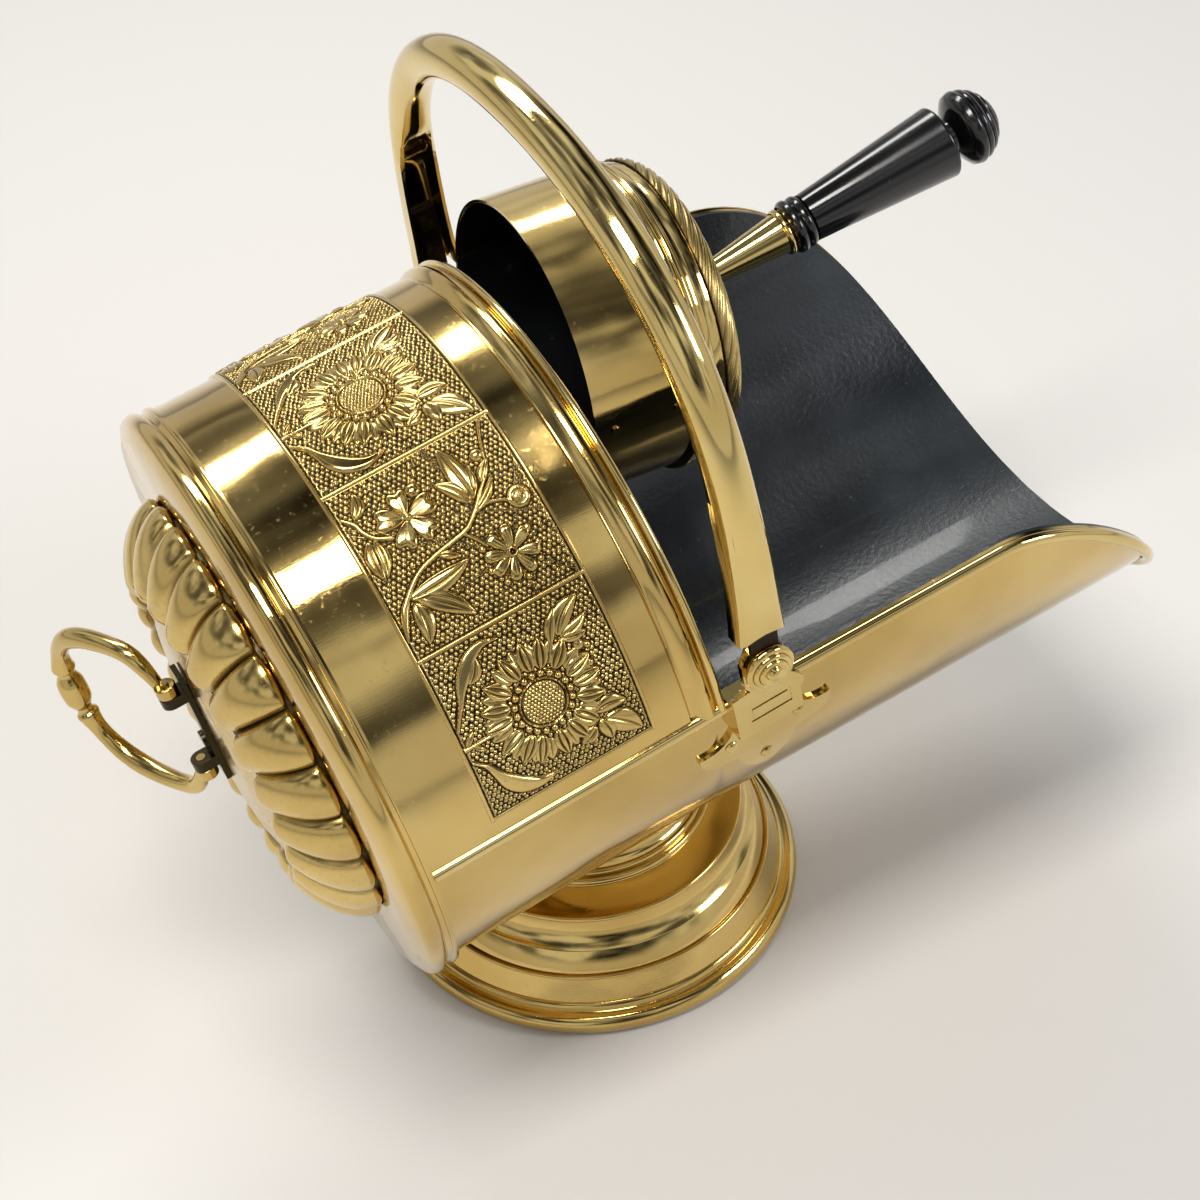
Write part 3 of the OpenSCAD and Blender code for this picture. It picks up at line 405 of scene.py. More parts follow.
def leafForm(u, v, base, tip, half, bend=0.0, rise=1.3, rib=0.45, ribs=1):
    # a pointed leaf with grooves along its middle
    du, dv = tip[0] - base[0], tip[1] - base[1]
    length = math.hypot(du, dv)
    along = np.clip(((u - base[0]) * du + (v - base[1]) * dv) / length ** 2, 0, 1)
    inside = (along > 0) & (along < 1)
    off = ((v - base[1]) * du - (u - base[0]) * dv) / length - bend * length * 4 * along * (1 - along)
    width = band["broad"] * half * np.sin(math.pi * along ** 0.8) ** 0.75 + 0.05
    w = off / width
    form = (0.3 + 0.7 * bulge(w)) * np.sin(math.pi * along) ** 0.3
    inside = inside & (np.abs(w) < 1)
    middle, wide = (0, 0.17) if ribs == 1 else (0.36, 0.15)
    form = form * (1 - rib * bell((np.abs(w) - middle) / wide))
    return np.where(inside, rise * form, 0)


def stemForm(u, v, points, radii, rise=1.0, rib=0.0):
    # a rounded stem or scroll along a curve, with its radius at each point
    line = smoothLine([(*p, r) for p, r in zip(points, radii)], 14)
    form = np.zeros_like(u)
    for x, y, r in line:
        r = r * band["broad"]
        d = np.hypot(u - x, v - y) / max(r, 0.2)
        top = bulge(d) * min(1, 0.6 + 0.4 * r)
        if rib:
            top = top * (1 - rib * bell(d / 0.3) * (r > 1))
        form = np.maximum(form, rise * top)
    return form


def petalForm(u, v, centre, angle, length, spread, rise, notch=0.0, inner=0.0):
    # one petal of an open flower, broad and round at its outer end
    du, dv = u - centre[0], v - centre[1]
    a = (np.arctan2(dv, du) - math.radians(angle) + math.pi) % (2 * math.pi) - math.pi
    w = a / math.radians(spread)
    reach = length * (1 - notch * bell(w / 0.28))
    reach = reach * np.clip(1 - np.abs(w) ** 3.2, 0, 1) ** 0.5 + 0.01
    r = np.hypot(du, dv)
    t = np.clip((r - inner) / (reach - inner + 0.01), 0, 1.01)
    form = (0.25 + 0.75 * bulge(t * t)) * (0.5 + 0.5 * np.clip(t * 1.3, 0, 1))
    form = form * (0.3 + 0.7 * np.clip(1 - w * w, 0, 1) ** 0.4)
    form = form * (1 - 0.16 * bell(w / 0.1) * (1 - t))
    form = np.where(np.abs(w) < 1, form, 0)
    return np.where((r > inner) & (t < 1), rise * form, 0)


def beadGround(u, v, pitch, radius, rise, jitter, seed):
    # rows of round beads, each a little out of place
    random = np.random.default_rng(seed)
    apart, reach, margin = pitch * 0.866, 90, 5
    rows = int(reach / apart) + 4
    columns = int(reach / pitch) + 4
    offX = random.uniform(-jitter, jitter, (rows, columns))
    offY = random.uniform(-jitter, jitter, (rows, columns))
    size = random.uniform(0.82, 1.08, (rows, columns))
    row = np.floor((v + margin) / apart).astype(int)
    form = np.zeros_like(u)
    for i in (-1, 0, 1):
        r = np.clip(row + i, 0, rows - 1)
        base = (r % 2) * pitch / 2
        column = np.floor((u + margin - base) / pitch).astype(int)
        for j in (-1, 0, 1):
            c = np.clip(column + j, 0, columns - 1)
            x = (c + 0.5) * pitch + base - margin + offX[r, c]
            y = (r + 0.5) * apart - margin + offY[r, c]
            d = np.hypot(u - x, v - y) / (radius * size[r, c])
            form = np.maximum(form, rise * bulge(d))
    return form


def sunflower(u, v):
    middle = (36.4, 35.2)
    forms = []
    for i in range(16):
        a = math.radians(90 - 22.5 * i + (3 if i % 3 else -2))
        forms.append(leafForm(u, v, polar(middle, 13.3, a), polar(middle, 25.4, a), 2.95,
                              rise=1.5, rib=0.55, ribs=2))
        a += math.radians(11.25)
        forms.append(leafForm(u, v, polar(middle, 15, a), polar(middle, 24.6, a), 2.3, rise=0.95, rib=0.35))
    for i in range(20):
        forms.append(ballForm(u, v, polar(middle, 11.7, math.radians(18 * i)), 1.45, 1.1))
    r = np.hypot(u - middle[0], v - middle[1])
    dome = np.where(r < 8.9, 0.1 + 0.4 * bulge(r / 9.6), 0)
    dome = dome + np.where(r < 8.4, beadGround(u, v, 1.55, 0.7, 0.5, 0.08, 5), 0)
    forms.append(dome)
    forms.append(0.95 * bell((r - 9.6) / 0.4))
    forms += [leafForm(u, v, *leaf, rise=1.35) for leaf in [
        ((48.5, 54.4), (55.9, 66.0), 1.9, 0.08), ((52.0, 56.0), (66.1, 66.8), 3.2, 0.1),
        ((52.8, 55.0), (65.4, 58.9), 2.2, -0.12), ((52.8, 54.2), (63.3, 52.4), 1.9, -0.05),
        ((53.2, 20.8), (66.5, 18.8), 2.9, 0.12), ((56.3, 15.8), (68.6, 3.2), 4.1, 0.05),
        ((53.9, 16.1), (55.7, 5.9), 2.9, 0.1), ((51.4, 14.6), (43.6, 10.8), 2.5, 0.1),
        ((14.0, 55.8), (20.2, 64.8), 2.3, -0.1), ((2.4, 34.9), (7.2, 39.4), 1.1, 0.0),
        ((5.0, 33.2), (9.0, 29.8), 0.9, 0.0)]]
    forms += [ballForm(u, v, *berry, 1.15) for berry in [
        ((57.9, 48.9), 2.3), ((59.2, 40.3), 1.5), ((58.8, 31.8), 1.5), ((50.8, 17.4), 1.7),
        ((61.0, 47.2), 1.5)]]
    forms += [stemForm(u, v, *stem) for stem in [
        ([(31, 66.4), (25, 67.4), (19.5, 65.6), (14.9, 61.5), (10.6, 56.4), (7, 50), (1.8, 41.9)],
         [0.35, 1.3, 2.2, 2.7, 1.9, 0.9, 0.6], 1.35, 0.4),
        ([(2, 27.6), (6.3, 23.5), (9, 17.7), (12.5, 11.8), (17.2, 7.4), (23.5, 5.0), (30.6, 5.8)],
         [0.5, 0.9, 1.6, 2.9, 3.0, 1.8, 0.4], 1.35, 0.4),
        ([(1.2, 33.7), (8, 33.9), (15.5, 33.9)], [0.9, 0.6, 0.8], 1.0)]]
    return forms


def blossom(u, v):
    forms = [stemForm(u, v, *stem) for stem in [
        ([(1.2, 8.6), (4.7, 17.2), (8.2, 21.9), (16.4, 28.5), (25, 31.4), (34.4, 33.2), (41.4, 34.8),
          (47.7, 39.5), (53.9, 45.7), (60.2, 51.6)],
         [0.6, 1.5, 1.1, 0.9, 0.85, 0.85, 0.85, 0.85, 0.75, 0.45], 1.15),
        ([(47.7, 38.9), (53.2, 39.9), (58.6, 38.3), (61.5, 36.5)], [0.7, 0.6, 0.6, 0.6], 0.95),
        ([(67.2, 70.6), (64.5, 64.9), (62.2, 58.6), (60.4, 52.4)], [0.7, 0.6, 0.5, 0.5], 0.95),
        ([(2.5, 60.8), (5.9, 56.7), (7.2, 52.4), (10.2, 48.1), (15.4, 45.3)],
         [0.5, 0.8, 0.8, 0.8, 0.8], 1.05),
        ([(39.6, 33.6), (42.6, 29.8), (44.9, 25.8)], [0.6, 0.7, 0.6], 0.95)]]
    forms += [ballForm(u, v, *bud) for bud in [
        ((59.3, 58.6), 2.5, 1.3), ((31.5, 58.2), 3.0, 1.5), ((16.8, 32.6), 1.3, 0.9)]]
    r = np.hypot(u - 65, v - 36.4)
    button = np.where(r < 4.6, 0.95 * np.clip((4.6 - r) / 0.9, 0, 1) ** 0.5, 0)
    forms.append(button - 0.3 * bell((r - 2.2) / 0.4))
    forms += [leafForm(u, v, *leaf, rise=1.4) for leaf in [
        ((50.0, 43.8), (47.1, 68.4), 3.8, -0.03), ((48.1, 43.0), (39.1, 55.9), 2.6, -0.1),
        ((51.6, 45.7), (54.5, 56.2), 1.8, 0.05), ((55.5, 47.7), (62.1, 55.3), 1.8, 0.06),
        ((48.5, 39.3), (60.4, 49.0), 1.5, -0.08), ((9.8, 21.9), (36.6, 24.8), 3.2, -0.05),
        ((12.1, 21.5), (29.1, 5.4), 3.4, 0.06), ((10.6, 19.9), (8.2, 3.9), 3.1, 0.08),
        ((27.0, 31.2), (34.6, 26.8), 1.4, 0.05), ((7.2, 58.6), (11.3, 68.6), 2.3, -0.14),
        ((6.6, 48.4), (5.3, 32.2), 2.4, -0.06), ((9.0, 47.9), (6.3, 32.6), 1.9, 0.1)]]
    forms += [petalForm(u, v, (24.4, 49.6), *petal, 1.5, notch=0.14, inner=1.2) for petal in [
        (88, 12.2, 33), (10, 12.8, 35), (-58, 13.0, 33), (-122, 13.0, 33), (160, 13.2, 36)]]
    forms.append(ballForm(u, v, (24.4, 49.6), 1.8, 1.55))
    for angle in (122, 79, 33, -20, -64, -110, -154, 166):
        forms.append(petalForm(u, v, (52.2, 19.1), angle, 10.9, 21, 1.35, inner=2.1))
    r = np.hypot(u - 52.2, v - 19.1)
    forms.append(1.35 * bell((r - 1.5) / 0.6))
    forms += [ballForm(u, v, berry, 1.35, 0.95) for berry in [
        (45, 10), (53.3, 8.1), (60.6, 11.9), (62.6, 17.8), (41.6, 16.4), (42.6, 25.2), (61.8, 24.6)]]
    return forms


def panelField(kind, last, seed):
    # heights and hollows on a regular net over one panel
    low = -band["overlap"]
    high = panelHeight + (band["overlap"] if last else -band["overlap"])
    columns = round((hood["bandWidth"] + 2 * band["side"]) / band["step"])
    rows = round((high - low) / band["step"])
    u, v = np.meshgrid(np.linspace(-band["side"], hood["bandWidth"] + band["side"], columns + 1),
                       np.linspace(low, high, rows + 1))
    ground = beadGround(u, v, band["beadPitch"], band["beadRadius"], band["beadHeight"],
                        band["beadJitter"], seed)
    away = np.minimum(np.minimum(u, hood["bandWidth"] - u), np.minimum(v, panelHeight - v))
    ornament = band["raised"] * np.maximum.reduce(kind(u, v))
    # a narrow dark moat keeps the beads clear of the leaves and flowers
    moat = ornament > 0.1
    for axis in (0, 1):
        moat = moat | np.roll(moat, 1, axis) | np.roll(moat, -1, axis)
    ground = np.where(moat, 0, ground) * np.clip((away - 1.1) / 0.5, 0, 1)
    form = np.maximum(ground, ornament)
    form = np.where(away > 0.9, form, 0)
    edges = [u, hood["bandWidth"] - u, v, panelHeight - v]
    lines = [band["lineHeight"] * bulge(d / band["lineWidth"]) for d in edges]
    # a second, finer line inside the band's two long edges
    lines += [band["fineHeight"] * bulge((d - band["fineIn"]) / band["fineWidth"]) for d in edges[:2]]
    beyond = (edges[0] < 0) | (edges[1] < 0)
    lines[2:4] = [np.where(beyond, 0, line) for line in lines[2:4]]
    height = np.maximum.reduce([form] + lines)
    near = height.copy()
    for axis in (0, 1):
        near = sum(np.roll(near, k, axis) for k in range(-3, 4)) / 7
    hollow = np.clip(1.2 - height / 0.4, 0, 1) * 0.85 + np.clip((near - height) * 2.8, 0, 0.85)
    hollow = np.where(away < -0.75, 0, hollow)
    # the net's rim dips under the hood's face
    height = np.where((u <= -band["rim"]) | (u >= hood["bandWidth"] + band["rim"]), band["dip"], height)
    if last:
        height = np.where(v >= panelHeight + band["rim"], band["dip"], height)
    return u, v, height, np.clip(hollow, 0, 1)


def makePanel(index):
    kind = (sunflower, blossom)[index % 2]
    u, v, height, hollow = panelField(kind, index == band["panels"] - 1, band["seed"] + index)
    if index == 0:
        height = np.where(v <= -band["rim"], band["dip"], height)
    angle = math.radians(hood["bandStart"] + index * hood["panelAngle"]) + v / hoodRadius
    radius = hoodRadius + 0.06 + height
    points = np.stack([hood["bandBack"] + u, -radius * np.cos(angle), radius * np.sin(angle)], -1)
    bm, row, column = bentGrid(points)
    markHollows(bm, hollow, row, column)
    name = "band_panel_%d_%s" % (index + 1, kind.__name__)
    piece = finishMesh(name, bm, drumPlace, closed=False, sharp=80)
    dress(piece, "scuttle", "lacquered_brass", material=embossedBrass)


for index in range(band["panels"]):
    makePanel(index)
print("band made")


def lipPoint(t):
    c, s = max(0, cosine(t)), sine(t)
    return (drum["lipReach"] - (drum["lipReach"] - drum["lipStart"]) * c ** drum["power"],
            drum["rim"] - (drum["rim"] + beadMid + drum["flare"]) * s ** drum["power"])


def flareAt(s):
    return drum["flare"] * max(0, s) / drum["lipReach"]


def troughRings(radius, thick, back):
    # section rings along the drum: out along the outer face and back along the inner face
    edge = [(s, drum["lap"]) for s in np.linspace(back, -2, 26)]
    edge += [(-1.99, drum["rim"] + edgeUp)]
    edge += [(s, drum["rim"] + edgeUp) for s in np.linspace(0, drum["lipStart"] - 4, 24)]
    edge += [tuple(p) for p in beside([lipPoint(t) for t in np.linspace(0, 90, 72)], -edgeUp)]
    rings = []
    for s, n in edge:
        outer, inner = radius + flareAt(s), radius + flareAt(s) - thick
        far = [math.acos(min(1, max(-1, -n / r))) for r in (outer, inner)]
        turns = np.linspace(-1, 1, 97)
        ring = [(s, outer * math.sin(far[0] * k), -outer * math.cos(far[0] * k)) for k in turns]
        ring += [(s, inner * math.sin(far[1] * k), -inner * math.cos(far[1] * k)) for k in turns[::-1]]
        rings.append(ring)
    return rings


def beadRings(line):
    # most of a circle, flat towards the wall
    points = np.array(line)
    rings = []
    flat = math.acos(-0.3)
    for i, p in enumerate(points):
        ahead = unit(points[min(i + 1, len(points) - 1)] - points[max(i - 1, 0)])
        out = np.array([0, p[1], p[2]])
        out = unit(out - out.dot(ahead) * ahead)
        up = np.cross(out, ahead)
        rings.append([p + (drum["bead"] - 0.05) * (math.cos(a) * out + math.sin(a) * up)
                      for a in np.linspace(-flat, flat, 21)])
    return rings


def edgePoint(p, side):
    r = beadMid + flareAt(p[0])
    return (p[0], side * math.sqrt(max(0, r * r - p[1] * p[1])), p[1])


def makeTrough():
    dress(loft("trough_sheet", troughRings(drum["trough"], drum["sheet"], drum["back"]), drumPlace),
          "scuttle", "lacquered_brass", "trough_shell")
    lining = troughRings(innerRadius, drum["lining"], drum["back"] + drum["spigot"] + drum["lining"])
    dress(loft("black_lining_sheet", lining, drumPlace), "scuttle", "black_lining", "trough_lining")
    near = [(s, drum["rim"]) for s in np.linspace(drum["bracketFront"] + 0.3, drum["lipStart"] - 3, 20)]
    near += [lipPoint(t) for t in np.linspace(0, 90, 72)]
    line = [edgePoint(p, -1) for p in near] + [edgePoint(p, 1) for p in near[-2::-1]]
    dress(loft("lip_edge_bead", beadRings(line), drumPlace), "scuttle", "bright_brass", "lip_bead")
    sides = []
    for side in (-1, 1):
        line = [edgePoint((s, drum["rim"]), side) for s in np.linspace(drum["back"], drum["bracketBack"], 24)]
        sides.append(loft("side", beadRings(line), drumPlace))
    dress(joinPieces("side_edge_beads", sides), "scuttle", "bright_brass", "side_beads")


makeTrough()
print("trough made")


# rear end: the pressed plate and its gadrooned boss
boss = {"radius": 99.0, "height": 29.5, "discDrop": 3.0, "count": 24, "depth": 5.5, "plain": 66.0,
        "steps": 16, "innerEnd": 7.0, "outerEnd": 4.0, "furrow": 7.0, "fade": 10.0, "bulge": 2.0,
        "bulgeFrom": 12.0, "dish": 1.6, "dishFrom": 46.0, "dishWidth": 14.0, "wall": 1.8, "roundness": 0.54}
bossDisc = boss["height"] - boss["discDrop"]
bossHollow = bossDisc - boss["depth"] * 0.6 - boss["wall"]


def between(value, low, width):
    return min(1, max(0, (value - low) / width))


def bossLine(r, h, t):
    return np.array([r * sine(t) ** boss["roundness"], h * cosine(t)])


def bossPoint(t, column):
    radius, plain = boss["radius"], boss["plain"]
    crest = bossLine(radius, boss["height"], t)
    rim = radius - boss["furrow"] * 0.7
    furrow, middle = (bossLine(rim, h, t) for h in (bossDisc - boss["furrow"] * 0.6, bossDisc))
    inside = 1 if crest[0] < plain else max(0, 1 - (crest[0] - plain) / boss["fade"])
    low = furrow + (middle - furrow) * inside
    # the lobes stand proud of the disc, which falls away a little towards them
    along = between(crest[0], plain - boss["bulgeFrom"], radius - plain + boss["bulgeFrom"])
    crest = crest + np.array([0, boss["bulge"] * math.sin(math.pi * along ** 0.7)])
    low = low - np.array([0, boss["dish"] * between(crest[0], boss["dishFrom"], boss["dishWidth"]) * inside])
    v = 2 * (column % boss["steps"]) / boss["steps"] - 1
    e = max(0, (plain + boss["innerEnd"] - crest[0]) / boss["innerEnd"],
            0.97 * (1 - crest[1] / boss["outerEnd"]))
    high = math.sqrt(max(0, 1 - v * v - e * e))
    deep = 0.85 * max(0, 1 - 1.8 * high) if crest[0] > plain else 0.1
    return low + (crest - low) * high, deep


def makeRearEnd():
    peak = hoodRadius + hood["mouldingHeight"]
    back, h, sheet, hole = drum["back"], drum["plateDepth"], drum["sheet"], boss["radius"] - 8
    outside = [(hoodRadius + 1.2, back)] + arc((hoodRadius + 0.2, back - 1.3), 1.3, 20, -70, 10)
    outside += arc((peak - 5, back - h * 0.56), 5, 60, -60, 24) + [(peak - 8, plateAt), (hole, plateAt)]
    inside = [(hole, plateAt + sheet), (peak - 9, plateAt + sheet), (innerRadius, back - 2),
              (innerRadius - sheet, back - 2), (innerRadius - sheet, back + drum["spigot"]),
              (innerRadius, back + drum["spigot"]), (innerRadius, back)]
    dress(turned("rear_plate", outside + inside, axisPlace, 200), "scuttle", "lacquered_brass", "end_plate")
    columns = boss["count"] * boss["steps"]
    rings, hollows = [], []
    # closest steps where the lobes begin
    spans = (1.2, 27, 16), (28, 42, 34), (43.5, 77, 24), (78, 90, 16)
    for t in np.concatenate([np.linspace(*span) for span in spans]):
        ring, hollow = [], []
        for k in range(columns):
            p, deep = bossPoint(t, k)
            a = 2 * math.pi * k / columns
            ring.append(spun(-p[1], p[0], a))
            hollow.append(deep)
        rings.append(ring)
        hollows.append(hollow)
    for t in (88, 70, 45, 20, 1.2):
        p = bossLine(boss["radius"] - boss["depth"] * 0.7 - boss["wall"], bossHollow, t)
        x = 0 if t == 88 else -p[1]
        rings.append([spun(x, p[0], a) for a in circle(columns)])
        hollows.append([0.6] * columns)
    bm, row, column = bentGrid(np.array(rings), closedAcross=True)
    markHollows(bm, hollows, row, column)
    dress(finishMesh("gadrooned_boss", bm, drumPlace @ shift(plateAt, 0, 0), sharp=50),
          "scuttle", "bright_brass", "end_boss", material=embossedBrass)


makeRearEnd()
print("rear end made")


# spun foot, and the collar that joins it to the trough
foot = {"radius": 102.0, "edge": 5.5, "neck": 54.0, "top": 67.9}


def makeFoot():
    mid, edge, neck = foot["radius"] - foot["edge"], foot["edge"], foot["neck"]
    line = arc((mid, edge), edge, 0, 84, 16) + [(mid - 0.8, 11.6), (mid - 1.2, 13.2)]
    line += arc((mid - 4, 12.6), 3, 25, 80, 10) + [(mid - 8.6, 25.6)]
    line += arc((mid - 9.2, 26.6), 1.1, -20, 160, 12) + arc((mid - 6.5, 52), 16.5, 238, 182, 26)
    line += arc((mid - 22.5, 53), 1.4, -60, 110, 12)
    line += [(neck + 6.6, 60.4)] + arc((neck + 5.4, 62.6), 2, -60, 100, 14)
    line += arc((neck + 3.2, 66.2), 1.7, -50, 90, 12)
    inner = [tuple(p) for p in beside(line, -drum["sheet"])[::-1] if p[1] > edge * 2]
    profile = [(mid + edge / 3, 0)] + arc((mid, edge), edge, -50, -12, 6) + line + inner
    profile += [(mid - edge, edge * 1.6), (mid - edge, 0)]
    dress(turned("spun_foot", profile, Matrix(), 200, sharp=40), "scuttle", "lacquered_brass", "foot")
    line = [(neck + 3, foot["top"])] + arc((neck + 6, foot["top"] + 7), 6, 235, 180, 14)
    rings = []
    turns = circle(128)
    outer = line + [(neck, None)]
    inside = [(neck - 1.6, None)] + [(r - 1.4, z) for r, z in line[::-1]]
    for r, z in outer + inside:
        ring = []
        for a in turns:
            x, y = r * math.cos(a), r * math.sin(a)
            n = -math.sqrt(drum["trough"] ** 2 - y * y)
            top = axisHeight + x * math.tan(slope) + n / math.cos(slope) + 0.2 - flareAt(x)
            ring.append((x, y, top if z is None else z))
        rings.append(ring)
    dress(loft("foot_collar", rings, Matrix(), closedAlong=True), "scuttle", "lacquered_brass", "foot_neck")


makeFoot()
print("foot made")


# hoop handle, and the turned rosettes of its pivots
bail = {"pivotAlong": 20.5, "pivotUp": 34.1, "height": 183.5, "lean": 5.9, "tube": 8.84, "wall": 1.5,
        "legEnd": 16.0, "legTop": 104.0, "strapOut": 139.0, "flare": 0.15, "arch": 3.5,
        "outPower": 0.91, "upPower": 0.61, "openFrom": 70, "openTo": 112, "flatFrom": 44, "flatTo": 92}
pivotAt = drumPlace @ shift(bail["pivotAlong"], 0, bail["pivotUp"])
pivotPlace = pivotAt @ turn(drum["tilt"] - bail["lean"], "Y")
legY = bail["strapOut"] + 0.05 + bail["wall"] - 6


def bailCentre(t):
    c, s = cosine(t), sine(t)
    return np.array([0, -legY * math.copysign(abs(c) ** bail["outPower"], c),
                     bail["height"] * max(0, s) ** bail["upPower"]])


def legAngle(v):
    return math.degrees(math.asin((v / bail["height"]) ** (1 / bail["upPower"])))


def eased(v, a, b):
    return 0 if v < a else 1 if v > b else (1 - math.cos(math.pi * (v - a) / (b - a))) / 2


def bailRing(t):
    # a round tube above, an open channel in the legs
    c = bailCentre(t)
    out = np.cross([1, 0, 0], unit(bailCentre(min(t + 0.2, 180)) - bailCentre(max(t - 0.2, 0))))
    opened = 1 - eased(c[2], bail["openFrom"], bail["openTo"])
    flat = 1 - eased(c[2], bail["flatFrom"], bail["flatTo"])
    half, crown = bail["tube"] + 0.3 * flat, bail["tube"] + (6 - bail["tube"]) * flat
    square = 1 - 0.45 * flat
    points = []
    for a in np.radians(np.linspace(-90, 90, 25)):
        x = half * math.copysign(abs(math.sin(a)) ** square, math.sin(a))
        points.append((x, crown * max(0, math.cos(a)) ** square))
    web, lip, side = crown - bail["wall"], -4.4, half - bail["wall"]
    channel = np.array([(half, lip), (side, lip), (side - 0.9, web), (0, web), (0.9 - side, web),
                        (-side, lip), (-half, lip)])
    for f in np.linspace(0, 6, 19):
        low = channel[int(f)] + (channel[min(int(f) + 1, 6)] - channel[int(f)]) * (f % 1)
        a = math.radians(90 + 22.5 * (f + 1))
        tube = np.array([half * math.sin(a), bail["tube"] * math.cos(a)])
        points.append(tuple(tube + (low - tube) * opened))
    # the legs widen towards their ends, which are cut to an arch over the pivots
    wide = 1 + bail["flare"] * max(0, 1 - (c[2] - bail["legEnd"]) / 40) ** 2
    near = max(0, 1 - (c[2] - bail["legEnd"]) / 12)
    rises = [bail["arch"] * near * max(0, 1 - (p[0] / half) ** 2) for p in points]
    return [c + np.array([-p[0] * wide, 0, up]) + p[1] * out for p, up in zip(points, rises)]


def makeBail():
    legs = [legAngle(v) for v in np.linspace(bail["legEnd"], bail["legTop"], 40)]
    over = list(np.linspace(legAngle(bail["legTop"]), 90, 40))[1:]
    half = legs + over
    turns = half + [180 - t for t in half[-2::-1]]
    dress(loft("hoop_handle_tube", [bailRing(t) for t in turns], pivotPlace, sharp=44),
          "hoop", "bright_brass", "bail")


def makePivots():
    radius, head, inner = 3.5, 139.3, 128.7
    profile = [(0, inner), (radius, inner), (radius, head), (10.4, head)]
    profile += arc((9.2, head + 1.5), 1.6, -60, 115, 14) + arc((7.1, head + 3), 1.35, -45, 115, 12)
    profile += arc((5.2, head + 4.2), 1.15, -45, 115, 12) + arc((0, head + 3.4), 3.7, 22, 90, 14)
    for name, side in (("right", 1), ("left", -1)):
        place = pivotAt @ turn(90 * side, "X")
        dress(turned("pivot_rosette_" + name, profile, place, 72),
          "scuttle", "bright_brass", "pivot_screw_" + name)


makeBail()
makePivots()
print("hoop handle made")


# tipping handle on the hinge plate at the rear
tipLoop = {"up": 10.0, "slope": 82.0, "swing": 27.0, "length": 67.8, "width": 82.0, "eyes": 48.0,
           "plate": 2.5, "pinOut": 5.5, "top": 3.4, "power": 0.77}
tipAxis = plateAt - bossDisc - tipLoop["plate"] - tipLoop["pinOut"]
hingePlace = drumPlace @ shift(tipAxis, 0, tipLoop["up"]) @ turn(tipLoop["slope"], "X")
loopTop, loopShoulder = tipLoop["top"], 0.36 * tipLoop["length"]


def shoulderAt(u, r):
    across = (tipLoop["eyes"] + (tipLoop["width"] - tipLoop["eyes"]) * (1 - (1 - u) ** 3)) / 2
    return (across, loopTop + (loopShoulder - loopTop) * u, r)


def bowAt(t, r):
    c, s = max(0, cosine(t)) ** tipLoop["power"], sine(t) ** tipLoop["power"]
    return (tipLoop["width"] / 2 * c, loopShoulder + (tipLoop["length"] - loopShoulder) * s, r)


def makeTipLoop():
    half = [shoulderAt(0, 2.4), shoulderAt(0.12, 3), shoulderAt(0.3, 3.6), shoulderAt(0.55, 3.9), bowAt(0, 4),
            bowAt(12, 4.3), bowAt(26, 4.5), bowAt(40, 4.3), bowAt(54, 3.9), bowAt(64, 3.9), bowAt(72, 4.6),
            bowAt(76, 5.1), bowAt(78.5, 3.7), bowAt(81, 3.7), bowAt(83.5, 4.8), bowAt(86.5, 5.9),
            bowAt(90, 6.2)]
    line = smoothLine([(-p[0], p[1], p[2]) for p in half] + half[-2::-1], 5)
    rings = []
    for i, p in enumerate(line):
        v = line[min(i + 1, len(line) - 1)] - line[max(i - 1, 0)]
        out = np.cross([1, 0, 0], unit(np.array([0, v[0], -v[1]])))
        centre = np.array([0, p[0], -p[1]])
        rings.append([centre + p[2] * (math.cos(a) * out + math.sin(a) * np.array([-1, 0, 0]))
                      for a in circle(28)])
    place = hingePlace @ turn(tipLoop["swing"], "Y")
    pieces = [loft("loop", rings, place)]
    for side in (-1, 1):
        y = side * tipLoop["eyes"] / 2
        eye = arc((4.0, -2.0), 0.6, -90, 0, 5) + arc((4.0, 2.0), 0.6, 0, 90, 5)
        eye += [(2.1, 2.6), (2.1, -2.6)]
        pieces.append(turned("eye", eye, place @ shift(0, y, 0) @ turn(90, "X"), 40))
    dress(joinPieces("tipping_loop_casting", pieces), "tipping_loop", "cast_brass", "tip_loop")


makeTipLoop()
print("tipping handle made")


# scoop, loose in the scuttle
scoop = {"radius": 68.8, "hood": 47.7, "sheet": 1.2, "blade": 109.5, "lap": 7.0, "hoodEdge": -1.2,
         "leaves": 36, "leafHeight": 2.0, "leafFrom": 16, "leafSweep": 60, "lacquer": 0.35,
         "rise": 12.9, "x": 17.7, "lean": 25.0, "yaw": -2.3, "ferrule": 62.9, "collar": 10.5,
         "grip": 71.5, "gripRadius": 17.0, "knob": 27.3, "tang": 2.8}
bladeRadius = scoop["radius"] - scoop["sheet"]
liningRadius = innerRadius - drum["lining"]
scoopOff = bladeRadius + 1.1
lean = math.radians(scoop["lean"])
scoopPlace = shift(
    scoop["x"], math.sqrt(liningRadius ** 2 - drum["lap"] ** 2) - scoopOff * math.cos(lean),
    axisHeight + drum["lap"] * math.cos(slope) + scoopOff * math.sin(lean)) @ turn(scoop["yaw"], "Z")
gripPlace = scoopPlace @ shift(scoop["hood"] + 22.5, 0, 1.4) @ turn(90 - scoop["rise"], "Y")
scoopAxis = scoopPlace @ turn(90, "Y")


def sheetRings(edge, radius, thick, below=True):
    # a rolled sheet whose long edges lie at height n at each distance s
    rings = []
    for s, n in edge:
        ring = []
        for r, turns in ((radius, np.linspace(-1, 1, 65)), (radius - thick, np.linspace(1, -1, 65))):
            far = math.acos(min(1, max(-1, (-n if below else n) / r)))
            sign = -1 if below else 1
            ring += [(s, r * math.sin(far * k), sign * r * math.cos(far * k)) for k in turns]
        rings.append(ring)
    return rings


